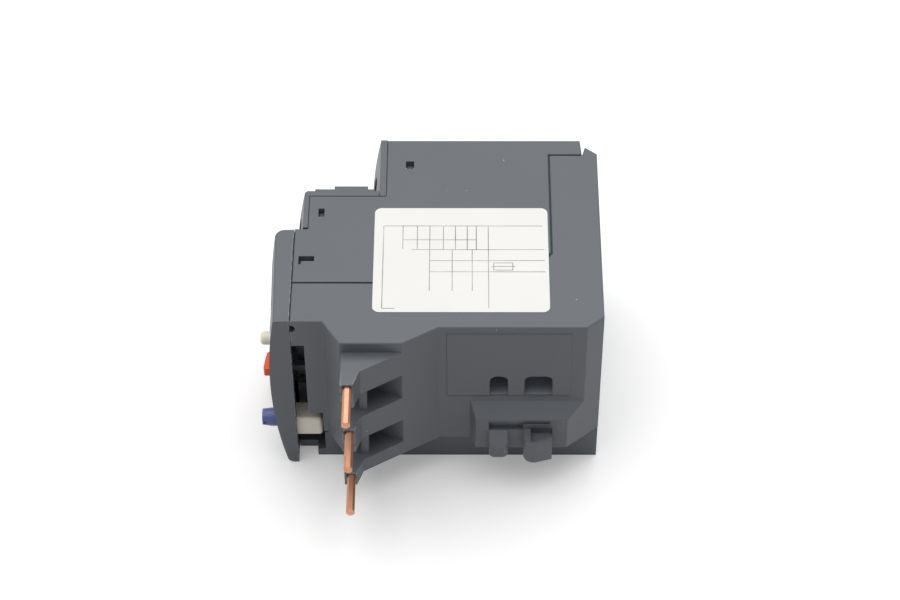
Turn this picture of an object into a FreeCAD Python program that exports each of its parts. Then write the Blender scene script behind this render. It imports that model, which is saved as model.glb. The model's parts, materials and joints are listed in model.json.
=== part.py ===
"""Three-pole thermal overload relay with contactor pins, lying on its right side panel.

Drawing axes: X runs from the operating front to the rear, Y from the contactor side
to the load terminals, and Z across the poles from the right panel to the left one.
Every piece is drawn on these axes and moved at the end, so that the origin lies under
the middle of the finished relay.
"""
import FreeCAD, Part
import math
import os

V = FreeCAD.Vector

# Clearances
RUN_GAP = 0.3               # between pieces that move past each other
SHAFT_FIT = 0.06            # radial clearance of a pin or stem in its hole
SLIP_FIT = 0.1              # between fixed pieces that slide together in assembly
WELD = 0.5                  # overlap of features that are fused into one moulding

# Mouldings
WIDTH = 45.0                # across the poles
WALL = 1.6                  # outer walls
SIDE_WALL = 2.0             # side panels
EDGE_ROUND = 0.35           # rounding round the side panels
FRONT_X = 0.25              # front wall
ROOF_Y = 0.0                # roof behind the front plate
ROOF_END_X = 6.64           # where the roof turns up to the pins
PIN_WALL_X = 10.24          # front of the pin wall
PIN_WALL_Y = -5.68          # top of the pin wall
PIN_WALL_REAR_X = 22.7
ROOF_SLOPE = 0.586          # fall of the slope behind the pins
FLAT_Y = -1.5               # rear roof
CHAMFER_X = 59.47           # rear chamfer starts on the roof
CHAMFER_Y = 1.31            # rear chamfer ends on the back
REAR_X = 62.9
RECESS_DROP = 3.8           # cut-back beside the pins, below the lowest shroud's upper face
RECESS_Y = 1.89             # depth of that cut-back
RECESS_FRONT_X = 4.15
RECESS_STEP_Y = 4.25        # lower step of that cut-back in front of the plunger
SEAM_Y = 10.42              # joint between the two housings
SEAM_BEND_X = 46.0
SEAM_REAR_X = 52.75
SEAM_BEND_Y = 18.5
SEAM_WIDTH = 0.4
SEAM_DEPTH = 0.6
FOOT_TALL = 4.35            # foot under the rear leg
FOOT_REAR_X = 59.4
LEG_LONG = 2.4              # tip of the leg below its stand on the foot
LEG_FALL = 1.95             # rise of the chamfered tip towards the back
LEG_TIP_IN = 1.0            # tip of the leg behind the foot
BOTTOM_Y = 50.95
AUX_SEAM_X = 2.87           # back of the cover at the auxiliary terminals
AUX_TOP_Y = 25.35
STEP_Y = 34.65
POWER_SEAM_X = 18.75        # back of the cover at the load terminals

# Pin shrouds and line pins
POLE_LAND = 1.5             # outside the room of the outer poles
SHROUD_INSET = 2.9          # upper face of the uppermost shroud below the left panel
SHROUD_THICK = 6.9
SHROUD_TIP_Y = -14.0
SHROUD_FRONT_X = 10.56
SHROUD_TIP_WIDTH = 2.54
SHROUD_SHOULDER_X = 14.38
PIN_FLOOR_Y = -2.2          # floor between the shrouds
PIN_FLOOR_REAR_X = 22.5
PIN_WALL_THICK = 1.8
WEB_X = 13.9                # web that ties the shrouds together
WEB_THICK = 1.6
WEB_TOP_Y = -9.0
PIN_X = 12.0
PIN_WIDE = 1.7
PIN_THICK = 1.75
PIN_CORNER = 0.4
PIN_TIP = 0.45              # chamfer round the tip
PIN_DROP = 1.4              # centre of a pin below its shroud's upper face
PIN_TIP_Y = -23.4
PIN_BEND = 1.3              # bend radius on the pin's centre line
BEND_FLATS = 3              # flats that make up one bend of a pin or bar
PIN_RUN_Y = 1.6             # first run inside the housing
PIN_CROSS_X = 30.0          # where the run drops and crosses to its pole
PIN_END_X = 35.6
PIN_END_Y = 5.2
APERTURE_DEPTH = 3.5
APERTURE_RIM = 0.45

# Hook block that catches in the contactor
HOOK_LEFT_X = 36.2
HOOK_SIDE_IN = 1.2
HOOK_FACE_Y = -4.2
HOOK_LEDGE_Z = 22.2
HOOK_FACE_Z = 19.2
TONGUE_X = 40.1
TONGUE_WIDE = 3.9
TONGUE_END_Y = -6.83
TONGUE_ROOT_Z = 15.9
TONGUE_TIP_Z = 13.2
TONGUE_ROUND = 1.2
TONGUE_TIP_ROUND = 0.8
NICHE_Z = 18.6
NICHE_DEPTH = 1.2           # at its foot
CUP_DEPTH = 0.4
CLAW_SLIT = 0.9             # groove over the claw
CLAW_X = 47.15
CLAW_WIDE = 5.9
CLAW_LEFT_Y = -9.0
CLAW_RIGHT_Y = -7.3
CLAW_TOP_Z = 16.2
CLAW_FLOOR = 4.2
CLAW_WALL = 1.5
CLAW_ROUND = 2.2

# Smooth raised panel beside the hook
PANEL_X0 = 31.5
PANEL_X1 = 56.5
PANEL_Z0 = 23.96
PANEL_PROUD = 0.15
PANEL_GROOVE = 0.25         # width and depth of the groove along its right edge
POCKET_TOP_Z = 30.0         # arched pockets over the tongue and the claw
POCKET_INSET = 0.1
POCKET_ROUND = 1.5
POCKET_DEPTH = 6.0

# Front plate and window
CROWN_RISE = 2.3            # bulge of the covers across the width
PLATE_RISE = 2.05           # bulge of the plate across the width
PLATE_LEAN = 1.2            # its right side stands back by this much
PLATE_EDGE_X = -3.1         # front of the plate at its left side
PLATE_ARM_X = -2.4          # root of the snap arms in the plate's skin
PLATE_LENGTH = 25.3
PLATE_WALL = 1.8
PLATE_TILT = 1.5            # degrees, the lower end stands forward
PLATE_END_ROUND = 2.0
PLATE_EDGE_ROUND = 0.5      # along the left side
PLATE_LOW_ROUND = 1.6       # along the right side
PANE_Y = 7.6
PANE_LENGTH = 13.0
PANE_INSET = 4.4            # from the left side of the plate
PANE_WIDTH = 15.0
PANE_THICK = 0.9
PANE_PROUD = 0.1
PANE_RIM = 1.2
PANE_BARREL_R = 0.6
PANE_TRUNNION_R = 0.4
PANE_TRUNNION = 0.8
FLAG_WINDOW_Y = 4.9
FLAG_WINDOW_TALL = 2.4
FLAG_WINDOW_IN = 0.6
FLAG_WINDOW_WIDE = 3.4

# Openings in the roof behind the plate
SLOT_BACK_X = 2.8
SLOT_Z0 = 15.9
SLOT_INSET = 7.4
SLOT_DEPTH = 9.5
CHAMBER_BACK_X = 7.3
CHAMBER_LOW_X = 5.8         # its back beside the plunger
CHAMBER_TOP_Z = 16.3
CHAMBER_DEPTH = 8.4
NOTCH_INSET = 2.3
NOTCH_R = 1.0
NOTCH_DEPTH = 4.5

# Terminal covers and terminals
AUX_FRONT_X = 1.9           # front of the cover at its sides, auxiliary step
POWER_FRONT_X = 17.43       # the same on the load step
COVER_STEP_Y = 36.0
COVER_WALL = 1.4
COVER_BEVEL = 0.5           # along the lower front edge
SHELF_X0 = 3.95
SHELF_X1 = 16.4
SHELF_RISE = 1.2
FRAME_X0 = 7.97
FRAME_X1 = 14.94
FRAME_RISE = 2.05
SHELF_INSET = 0.7
AUX_LAND = 1.84             # outside the room of the outer auxiliary terminals
AUX_Y = 30.3                # screw axis
AUX_HEAD_X = 5.5
AUX_HEAD_R = 2.9
AUX_HEAD_TALL = 2.4
AUX_SHANK_R = 1.5
AUX_SHANK_LONG = 6.6
AUX_HOLE_R = 3.3            # driver hole
AUX_CLAMP = 5.2
AUX_CLAMP_THICK = 0.9
AUX_PLATE_X = 12.4
AUX_PLATE_THICK = 1.0
AUX_PLATE_WIDE = 5.6
AUX_PLATE_END_Y = 32.9
AUX_PLATE_TOP_Y = 26.7
AUX_ENTRY_WIDE = 5.8
AUX_ENTRY_X0 = 8.8
AUX_ENTRY_X1 = 14.2
STRIP_WIDE = 3.0
STRIP_TOP_Y = 18.6
STRIP_SHIFT = 2.5           # the second strip stands clear of the test stem
TIP_HALF = 1.1              # half side of a contact tip
TIP_TALL = 0.6
LOAD_Y = 42.9
LOAD_HEAD_X = 20.5
LOAD_HEAD_R = 3.4
LOAD_HEAD_TALL = 2.6
LOAD_SHANK_R = 2.0
LOAD_SHANK_LONG = 8.6
LOAD_HOLE_R = 3.8           # driver hole
LOAD_CLAMP = 7.0
LOAD_CLAMP_THICK = 1.2
BAR_X = 27.6
BAR_THICK = 1.5
BAR_WIDE = 6.4
BAR_RUN_Y = 37.0
BAR_END_X = 44.2
BAR_BEND = 1.6
TAB_TOP_Y = 32.0
TAB_THICK = 1.2
LOAD_ENTRY_WIDE = 9.2
LOAD_ENTRY_X0 = 21.9
LOAD_ENTRY_X1 = 29.1
SCREW_SLOT = 0.8
SHANK_FLATS = 12            # flats that stand for a thread
RIB = 1.2                   # inner walls of the mouldings
DIVIDER_X = 19.2            # wall between mechanism and heaters
LATCH_THICK = 0.9
LATCH_LUG = 0.8

# Windows in the side panels for the snap latches: X, Y of the first corner, size along X and Y
LOAD_LATCH = (22.78, 42.48, 1.66, 2.21)
AUX_LATCH = (4.94, 28.7, 1.21, 2.3)
PLATE_LATCH = (1.37, 16.29, 3.14, 1.37)
PLATE_LATCH_LEG = (0.58, 0.89)

# Heaters and slides
METAL_X = 38.2
METAL_WIDE = 5.6
METAL_THICK = 0.8
METAL_TIP_Y = 6.4
METAL_FOOT_Y = 36.9
COIL_TOP_Y = 12.2
COIL_PITCH = 2.6
COIL_TURNS = 7
COIL_WIRE = 0.9
COIL_AIR = 0.55
SLIDE_TRAVEL = 2.0
SLIDE_THICK = 1.2
SLIDE_Z0 = 4.2
SLIDE_BORDER = 2.0
ARM_TIP_X = 6.4
ARM_WIDE = 2.2
ARM_GAP = 1.4               # slide arm to compensator at the middle setting

# Buttons
STEM_HALF = 0.85            # half sides of the square stem, shank and shoulder
BUTTON_TIP_X = 12.0         # inner end of the stems
SHANK_HALF = 1.6
SHANK_X = -1.6              # front of the shanks behind the plate
SHOULDER_X = 2.7
SHOULDER_HALF = 2.2
SHOULDER_THICK = 0.9
GUIDE_X = 9.2               # wall that guides the stems
RESET_Y = 3.8
RESET_Z = 10.4
RESET_STEM_Y = 4.7
RESET_CAP_R = 1.95
RESET_CAP_X = -7.2
RESET_CAP_TIP = 1.9
RESET_CAP_NOSE_R = 1.7
RESET_PEG_R = 1.2
RESET_PEG_LONG = 3.4
RESET_TRAVEL = 1.6
PLUNGER_X0 = -0.5
PLUNGER_X1 = 5.4
PLUNGER_Y0 = 1.2
PLUNGER_TALL = 4.4
PLUNGER_WIDE = 5.0
PLUNGER_ROUND = 0.8
STOP_Y = 20.2
STOP_Z = 9.8                # its stem
STOP_CAP_Z = 8.1
STOP_TALL = 4.8
STOP_WIDE = 2.2
STOP_TIP_X = -7.95
STOP_LOW_X = -7.3
STOP_ROUND = 0.5
SCREEN_X = -1.5             # wall on the front that screens the button shanks
SCREEN_Y = 12.2
SCREEN_Z0 = 12.0
SCREEN_Z1 = 24.4
STOP_BACK_X = -2.1
TEST_Y = 19.0
TEST_Z = 18.0
TEST_R = 1.45
TEST_TIP_X = -8.0
TEST_BACK_X = -1.1
TEST_NOSE = 0.7             # length of its rounded tip
SPRING_R = 1.6
SPRING_WIRE = 0.4
SPRING_TURNS = 3
SPRING_SIDES = 10           # straight stretches in one turn

# Setting dial, levers and contacts
DIAL_Y = 14.1
DIAL_IN = 6.9               # from the pane's right side to the dial's axis
DIAL_R = 5.0
DIAL_FRONT_X = -3.2
DIAL_THICK = 2.2
DIAL_SHAFT_R = 2.0
DIAL_SHAFT_END_X = 7.0
DIAL_SLOT_WIDE = 1.2
DIAL_SLOT_DEEP = 1.0
CAM_X = 4.0
CAM_THICK = 1.8
CAM_R = 3.6                 # at the middle setting
CAM_RISE = 0.5              # from the middle setting to either end
DIAL_SWEEP = 135.0          # degrees from the middle setting to either end
LEVER_WIDE = 2.5
LEVER_THICK = 1.6
LEVER_PIVOT_Y = 22.4
LEVER_PIN_R = 1.1
LEVER_BOSS_R = 2.0
TRIP_PIVOT_Y = 15.8
TRIP_TAIL_Y = 21.0
COMP_TIP_Y = 6.0
COMP_THICK = 0.6
COMP_WIDE = 3.6
FLAG_Y = 9.0
FLAG_DROP = 6.35            # flag's corner below the middle of the lever
FLAG_POST = 1.5
FLAG_X = -2.2
FLAG_THICK = 0.8
FLAG_TALL = 2.8
FLAG_WIDE = 4.4
CARRIER_X = 15.4
CARRIER_THICK = 1.8
CARRIER_Y = 17.6
CARRIER_TALL = 5.0
CARRIER_TRAVEL = 1.6
BRIDGE_WIDE = 2.6
BRIDGE_THICK = 0.9
BRIDGE_Y = 20.2
CONTACT_GAP = 0.1

# Side label
LABEL_X0 = 16.6
LABEL_X1 = 52.1
LABEL_Y0 = 2.45
LABEL_Y1 = 31.0
LABEL_THICK = 0.12
LABEL_ROUND = 1.4

# Places worked out from the sizes above
FOOT_Y = BOTTOM_Y - FOOT_TALL
LEG_TIP_Y = FOOT_Y + LEG_LONG
PLATE_BACK_X = FRONT_X - SLIP_FIT
POLE_PITCH = (WIDTH - 2 * POLE_LAND) / 3
AUX_PITCH = (WIDTH - 2 * AUX_LAND) / 4
POLE_Z = [WIDTH / 2 + (i - 1) * POLE_PITCH for i in range(3)]
AUX_Z = [WIDTH / 2 + (i - 1.5) * AUX_PITCH for i in range(4)]
STRIP_Z = [AUX_Z[0], AUX_Z[1] - STRIP_SHIFT, AUX_Z[2], AUX_Z[3]]
SHROUD_TOP_Z = WIDTH - SHROUD_INSET
SHROUD_Z = [SHROUD_TOP_Z - (2 - i) * POLE_PITCH for i in range(3)]
RECESS_Z = SHROUD_Z[0] - RECESS_DROP
PIN_Z = [top - PIN_DROP for top in SHROUD_Z]
INNER_Z0 = SIDE_WALL
INNER_Z1 = WIDTH - SIDE_WALL
POLE_WALL_Z = [(POLE_Z[i] + POLE_Z[i + 1]) / 2 for i in range(2)]
AUX_WALL_Z = [(AUX_Z[i] + AUX_Z[i + 1]) / 2 for i in range(3)]
SEAT_X = AUX_PLATE_X + AUX_PLATE_THICK
BAR_SEAT_X = BAR_X + BAR_THICK
SLIDE_Z1 = INNER_Z1 - SLIDE_TRAVEL - RUN_GAP - SLIP_FIT
PANE_Z = WIDTH - PANE_INSET - PANE_WIDTH
DIAL_Z = PANE_Z + DIAL_IN
LEVER_X = CAM_X + (CAM_THICK - LEVER_THICK) / 2
LEVER_Z1 = DIAL_Z - CAM_R - RUN_GAP
LEVER_Z = LEVER_Z1 - LEVER_WIDE / 2
FLAG_Z = LEVER_Z - FLAG_DROP
FLAG_WINDOW_Z = FLAG_Z - FLAG_WINDOW_IN
TRIP_X = LEVER_X + LEVER_THICK + RUN_GAP
ARM_Z1 = LEVER_Z - COMP_THICK / 2 - ARM_GAP
TRIP_SLIDE_Y = SEAM_Y - 2 * (SLIDE_THICK + RUN_GAP)
OFFSET = V(-(TEST_TIP_X + REAR_X) / 2, -(PIN_TIP_Y + BOTTOM_Y) / 2, 0)


def box(x0, x1, y0, y1, z0, z1):
    """Block between two corners."""
    return Part.makeBox(x1 - x0, y1 - y0, z1 - z0, V(x0, y0, z0))


def rod_x(x0, x1, y, z, radius):
    """Round bar along X."""
    return Part.makeCylinder(radius, x1 - x0, V(x0, y, z), V(1, 0, 0))


def rod_y(y0, y1, x, z, radius):
    """Round bar along Y."""
    return Part.makeCylinder(radius, y1 - y0, V(x, y0, z), V(0, 1, 0))


def bar_x(x0, x1, y, z, half):
    """Square bar along X, given by half its side."""
    return box(x0, x1, y - half, y + half, z - half, z + half)


def flat_rod(x0, x1, y, z, radius, flats):
    """Bar along X with flats in place of a round, its corners on the radius."""
    turns = [2 * math.pi * k / flats for k in range(flats)]
    return prism_x([(y + radius * math.cos(a), z + radius * math.sin(a)) for a in turns], x0, x1)


def turned(profile, y, z):
    """Piece turned about an axis along X from points of X and radius, closed along the axis."""
    ends = [(profile[-1][0], 0.0), (profile[0][0], 0.0)]
    points = [V(x, y + radius, z) for x, radius in profile + ends]
    return Part.Face(Part.makePolygon(points + points[:1])).revolve(V(0, y, z), V(1, 0, 0), 360)


def fuse(shapes):
    """One solid from overlapping or touching shapes."""
    return shapes[0].multiFuse(shapes[1:]).removeSplitter()


def outline(corners, place):
    """Closed wire through corners (a, b) or (a, b, radius); place maps a, b to space."""
    starts, ends = [], []
    for i, corner in enumerate(corners):
        here = V(corner[0], corner[1], 0)
        radius = corner[2] if len(corner) > 2 else 0.0
        to_last = (V(*corners[i - 1][:2], 0) - here).normalize()
        to_next = (V(*corners[(i + 1) % len(corners)][:2], 0) - here).normalize()
        half = to_last.getAngle(to_next) / 2
        back = radius / math.tan(half)
        starts.append(here + to_last * back)
        ends.append(here + to_next * back)
    edges = []
    for i, corner in enumerate(corners):
        if len(corner) > 2:
            here = V(corner[0], corner[1], 0)
            toward = ((starts[i] + ends[i]) * 0.5 - here).normalize()
            reach = (starts[i] - here).Length
            middle = here + toward * (math.hypot(reach, corner[2]) - corner[2])
            edges.append(Part.Arc(place(starts[i]), place(middle), place(ends[i])).toShape())
        following = starts[(i + 1) % len(corners)]
        edges.append(Part.makeLine(place(ends[i]), place(following)))
    return Part.Wire(edges)


def prism_z(corners, z0, z1):
    """Side-view outline carried across the poles."""
    return Part.Face(outline(corners, lambda p: V(p.x, p.y, z0))).extrude(V(0, 0, z1 - z0))


def prism_y(corners, y0, y1):
    """Plan in X and Z carried towards the load terminals."""
    return Part.Face(outline(corners, lambda p: V(p.x, y0, p.y))).extrude(V(0, y1 - y0, 0))


def prism_x(corners, x0, x1):
    """Front-view outline in Y and Z carried to the rear."""
    return Part.Face(outline(corners, lambda p: V(x0, p.x, p.y))).extrude(V(x1 - x0, 0, 0))


def round_edges(shape, radius, picks):
    """Fillet on the edges that the test picks."""
    return shape.makeFillet(radius, [edge for edge in shape.Edges if picks(edge)])


def bevel_edges(shape, size, picks):
    """Chamfer on the edges that the test picks."""
    return shape.makeChamfer(size, [edge for edge in shape.Edges if picks(edge)])


def on_level(level):
    """Test for edges that lie wholly at one Z."""
    return lambda edge: all(abs(v.Z - level) < 1e-6 for v in edge.Vertexes)


def both_sides(shape):
    """A shape with its mirror image across the middle of the width."""
    return [shape, shape.mirror(V(0, 0, WIDTH / 2), V(0, 0, 1))]


def crown(front_x, back_x, y0, y1, rise=CROWN_RISE, lean=0.0):
    """Block with a flat back whose front bulges in one arc; its right side stands back by the lean."""
    corners = [V(front_x + lean, y0, 0), V(front_x, y0, WIDTH), V(back_x, y0, WIDTH), V(back_x, y0, 0)]
    peak = V(front_x + lean / 2 - rise, y0, WIDTH / 2)
    bulge = Part.Arc(corners[0], peak, corners[1]).toShape()
    sides = [Part.makeLine(corners[i], corners[(i + 1) % 4]) for i in (1, 2, 3)]
    return Part.Face(Part.Wire([bulge] + sides)).extrude(V(0, y1 - y0, 0))


def swept_bar(points, ring):
    """Bar along straight stretches, mitred at every corner; ring holds the corners of its first end."""
    ways = [(points[i + 1] - points[i]).normalize() for i in range(len(points) - 1)]
    rings = [ring]
    for i, way in enumerate(ways):
        normal = way + ways[min(i + 1, len(ways) - 1)]
        rings.append([corner + way * ((points[i + 1] - corner).dot(normal) / way.dot(normal))
                      for corner in rings[-1]])
    faces = [Part.Face(Part.makePolygon(loop + loop[:1])) for loop in (rings[0], rings[-1])]
    for first, second in zip(rings, rings[1:]):
        for k in range(len(ring)):
            loop = [first[k], first[k - 1], second[k - 1], second[k]]
            faces.append(Part.Face(Part.makePolygon(loop + loop[:1])))
    return Part.Solid(Part.makeShell(faces))


def bent_bar(points, radius, wide, thick, corner):
    """Flat bar with broken corners and right-angled bends in short flats; it sets out along Y."""
    path = [points[0]]
    for last, here, following in zip(points, points[1:], points[2:]):
        to_last = (last - here).normalize()
        to_next = (following - here).normalize()
        centre = here + (to_last + to_next) * radius
        for k in range(BEND_FLATS + 1):
            angle = math.pi / 2 * k / BEND_FLATS
            path.append(centre - (to_next * math.cos(angle) + to_last * math.sin(angle)) * radius)
    path.append(points[-1])
    a, b = wide / 2, thick / 2
    ring = [(a - corner, -b), (a, corner - b), (a, b - corner), (a - corner, b)]
    ring += [(-x, -y) for x, y in ring]
    return swept_bar(path, [points[0] + V(x, 0, y) for x, y in ring])


def square_wire(points, size, lead=V(0, 0, 1)):
    """Square wire along straight stretches, with one side square to lead."""
    way = (points[1] - points[0]).normalize()
    side = way.cross(lead).normalize()
    other = way.cross(side)
    turns = [(1, 1), (-1, 1), (-1, -1), (1, -1)]
    return swept_bar(points, [points[0] + (side * a + other * b) * (size / 2) for a, b in turns])


def slope_y(x):
    """Height of the slope behind the pins."""
    return PIN_WALL_Y + (x - PIN_WALL_REAR_X) * ROOF_SLOPE


def leg_corners():
    """Rear leg of the contactor housing, down its back and up along the seam."""
    return [(REAR_X, LEG_TIP_Y - LEG_FALL), (FOOT_REAR_X + LEG_TIP_IN, LEG_TIP_Y),
            (FOOT_REAR_X + EDGE_ROUND, FOOT_Y), (SEAM_REAR_X, FOOT_Y),
            (SEAM_REAR_X, SEAM_BEND_Y), (SEAM_BEND_X, SEAM_Y)]


def seam_grooves():
    """Dark joint line round the two side panels and across the front wall."""
    half = SEAM_WIDTH / 2
    front_x = FRONT_X - WALL
    rear_x = FOOT_REAR_X + EDGE_ROUND + half
    upper = [(front_x, SEAM_Y - half), (SEAM_BEND_X + half, SEAM_Y - half),
             (SEAM_REAR_X + half, SEAM_BEND_Y - half), (SEAM_REAR_X + half, FOOT_Y - half),
             (rear_x, FOOT_Y - half)]
    lower = [(rear_x, FOOT_Y + half), (SEAM_REAR_X - half, FOOT_Y + half),
             (SEAM_REAR_X - half, SEAM_BEND_Y + half), (SEAM_BEND_X - half, SEAM_Y + half),
             (front_x, SEAM_Y + half)]
    return both_sides(prism_z(upper + lower, WIDTH - SEAM_DEPTH, WIDTH + SEAM_DEPTH))


def latch_window(window, through):
    """Rectangular hole through both side panels."""
    x, y, wide, tall = window
    return both_sides(box(x, x + wide, y, y + tall, INNER_Z1 - through, WIDTH + 1))


def latch(window, root_x):
    """Snap arm inside each side panel with a lug that sits in the panel's window."""
    x, y, wide, tall = window
    top = INNER_Z1 - SLIP_FIT
    tip_x = x + wide - SLIP_FIT
    y0, y1 = y + SLIP_FIT, y + tall - SLIP_FIT
    arm = box(root_x, tip_x, y0, y1, top - LATCH_THICK, top)
    lug = [(x + SLIP_FIT, y0), (tip_x, y0), (tip_x, y1), (x + SLIP_FIT, y1)]
    return both_sides(fuse([arm, prism_z(lug, top - LATCH_THICK, top + LATCH_LUG)]))


def shroud(top):
    """Wedge that carries one line pin out to the contactor, with an open slot at its tip."""
    low = max(top - SHROUD_THICK, RECESS_Z)
    tip_x1 = SHROUD_FRONT_X + SHROUD_TIP_WIDTH
    side = [(SHROUD_FRONT_X, FLAT_Y), (PIN_FLOOR_REAR_X + WELD, FLAT_Y),
            (PIN_FLOOR_REAR_X + WELD, slope_y(PIN_FLOOR_REAR_X + WELD)),
            (SHROUD_SHOULDER_X, slope_y(SHROUD_SHOULDER_X)), (tip_x1, SHROUD_TIP_Y),
            (SHROUD_FRONT_X, SHROUD_TIP_Y)]
    wedge = prism_z(side, low, top)
    slot = box(SHROUD_FRONT_X + APERTURE_RIM, tip_x1 - APERTURE_RIM, SHROUD_TIP_Y - 1,
               SHROUD_TIP_Y + APERTURE_DEPTH, low + APERTURE_RIM, top - APERTURE_RIM)
    return wedge.cut(slot)


def hook_block():
    """Ledge with a plain tongue and a cupped claw that catch in the contactor."""
    chamfer = (CHAMFER_Y - FLAT_Y) / (REAR_X - CHAMFER_X)
    right_x = CHAMFER_X - (FLAT_Y - HOOK_FACE_Y) / chamfer
    root_y = FLAT_Y + WALL / 2
    plan = [(HOOK_LEFT_X, root_y), (HOOK_LEFT_X, FLAT_Y), (HOOK_LEFT_X + HOOK_SIDE_IN, HOOK_FACE_Y),
            (right_x, HOOK_FACE_Y), (CHAMFER_X, FLAT_Y), (CHAMFER_X, root_y)]
    side = [(root_y, RECESS_Z), (HOOK_FACE_Y, RECESS_Z), (HOOK_FACE_Y, HOOK_FACE_Z),
            (FLAT_Y, HOOK_LEDGE_Z), (root_y, HOOK_LEDGE_Z)]
    block = prism_z(plan, RECESS_Z, HOOK_LEDGE_Z).common(prism_x(side, HOOK_LEFT_X, CHAMFER_X))
    niche_y = HOOK_FACE_Y + NICHE_DEPTH
    niche = prism_x([(HOOK_FACE_Y - 1, TONGUE_ROOT_Z), (niche_y, TONGUE_ROOT_Z), (HOOK_FACE_Y, NICHE_Z),
                     (HOOK_FACE_Y - 1, NICHE_Z)], TONGUE_X, CLAW_X)
    claw_x1 = CLAW_X + CLAW_WIDE
    cup_x = CLAW_X + CLAW_WALL
    cup_z = RECESS_Z + CLAW_FLOOR
    slit_z = NICHE_Z - CLAW_SLIT
    cup_niche = box(cup_x, claw_x1, HOOK_FACE_Y - 1, HOOK_FACE_Y + CUP_DEPTH, cup_z, CLAW_TOP_Z + RUN_GAP)
    slit = box(CLAW_X - WELD, claw_x1 - WELD, HOOK_FACE_Y - 1, HOOK_FACE_Y + WELD, slit_z, NICHE_Z)
    tongue_x1 = TONGUE_X + TONGUE_WIDE
    tongue = prism_x([(niche_y, RECESS_Z), (TONGUE_END_Y, RECESS_Z),
                      (TONGUE_END_Y, TONGUE_TIP_Z, TONGUE_TIP_ROUND),
                      (HOOK_FACE_Y, TONGUE_ROOT_Z), (niche_y, TONGUE_ROOT_Z)],
                     TONGUE_X, tongue_x1)
    tongue = tongue.common(prism_z([(TONGUE_X, niche_y), (TONGUE_X, TONGUE_END_Y, TONGUE_ROUND),
                                    (tongue_x1, TONGUE_END_Y, TONGUE_ROUND), (tongue_x1, niche_y)],
                                   RECESS_Z, TONGUE_ROOT_Z))
    claw = prism_z([(CLAW_X, niche_y), (CLAW_X, CLAW_LEFT_Y, CLAW_ROUND), (claw_x1, CLAW_RIGHT_Y),
                    (claw_x1, niche_y)], RECESS_Z, CLAW_TOP_Z)
    cup = prism_z([(cup_x, niche_y), (cup_x, CLAW_LEFT_Y + CLAW_WALL),
                   (claw_x1 + 1, CLAW_RIGHT_Y + CLAW_WALL), (claw_x1 + 1, niche_y)],
                  cup_z, CLAW_TOP_Z + 1)
    return fuse([block.cut([niche, cup_niche, slit]), tongue, claw.cut(cup)])


def pocket(x0, wide):
    """Deep arched pocket in the raised panel over a hook."""
    x0, x1 = x0 + POCKET_INSET, x0 + wide - POCKET_INSET
    z0, face = PANEL_Z0 + POCKET_INSET, FLAT_Y - PANEL_PROUD
    return prism_y([(x0, z0), (x1, z0), (x1, POCKET_TOP_Z, POCKET_ROUND), (x0, POCKET_TOP_Z, POCKET_ROUND)],
                   face - 1, face + POCKET_DEPTH)


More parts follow.
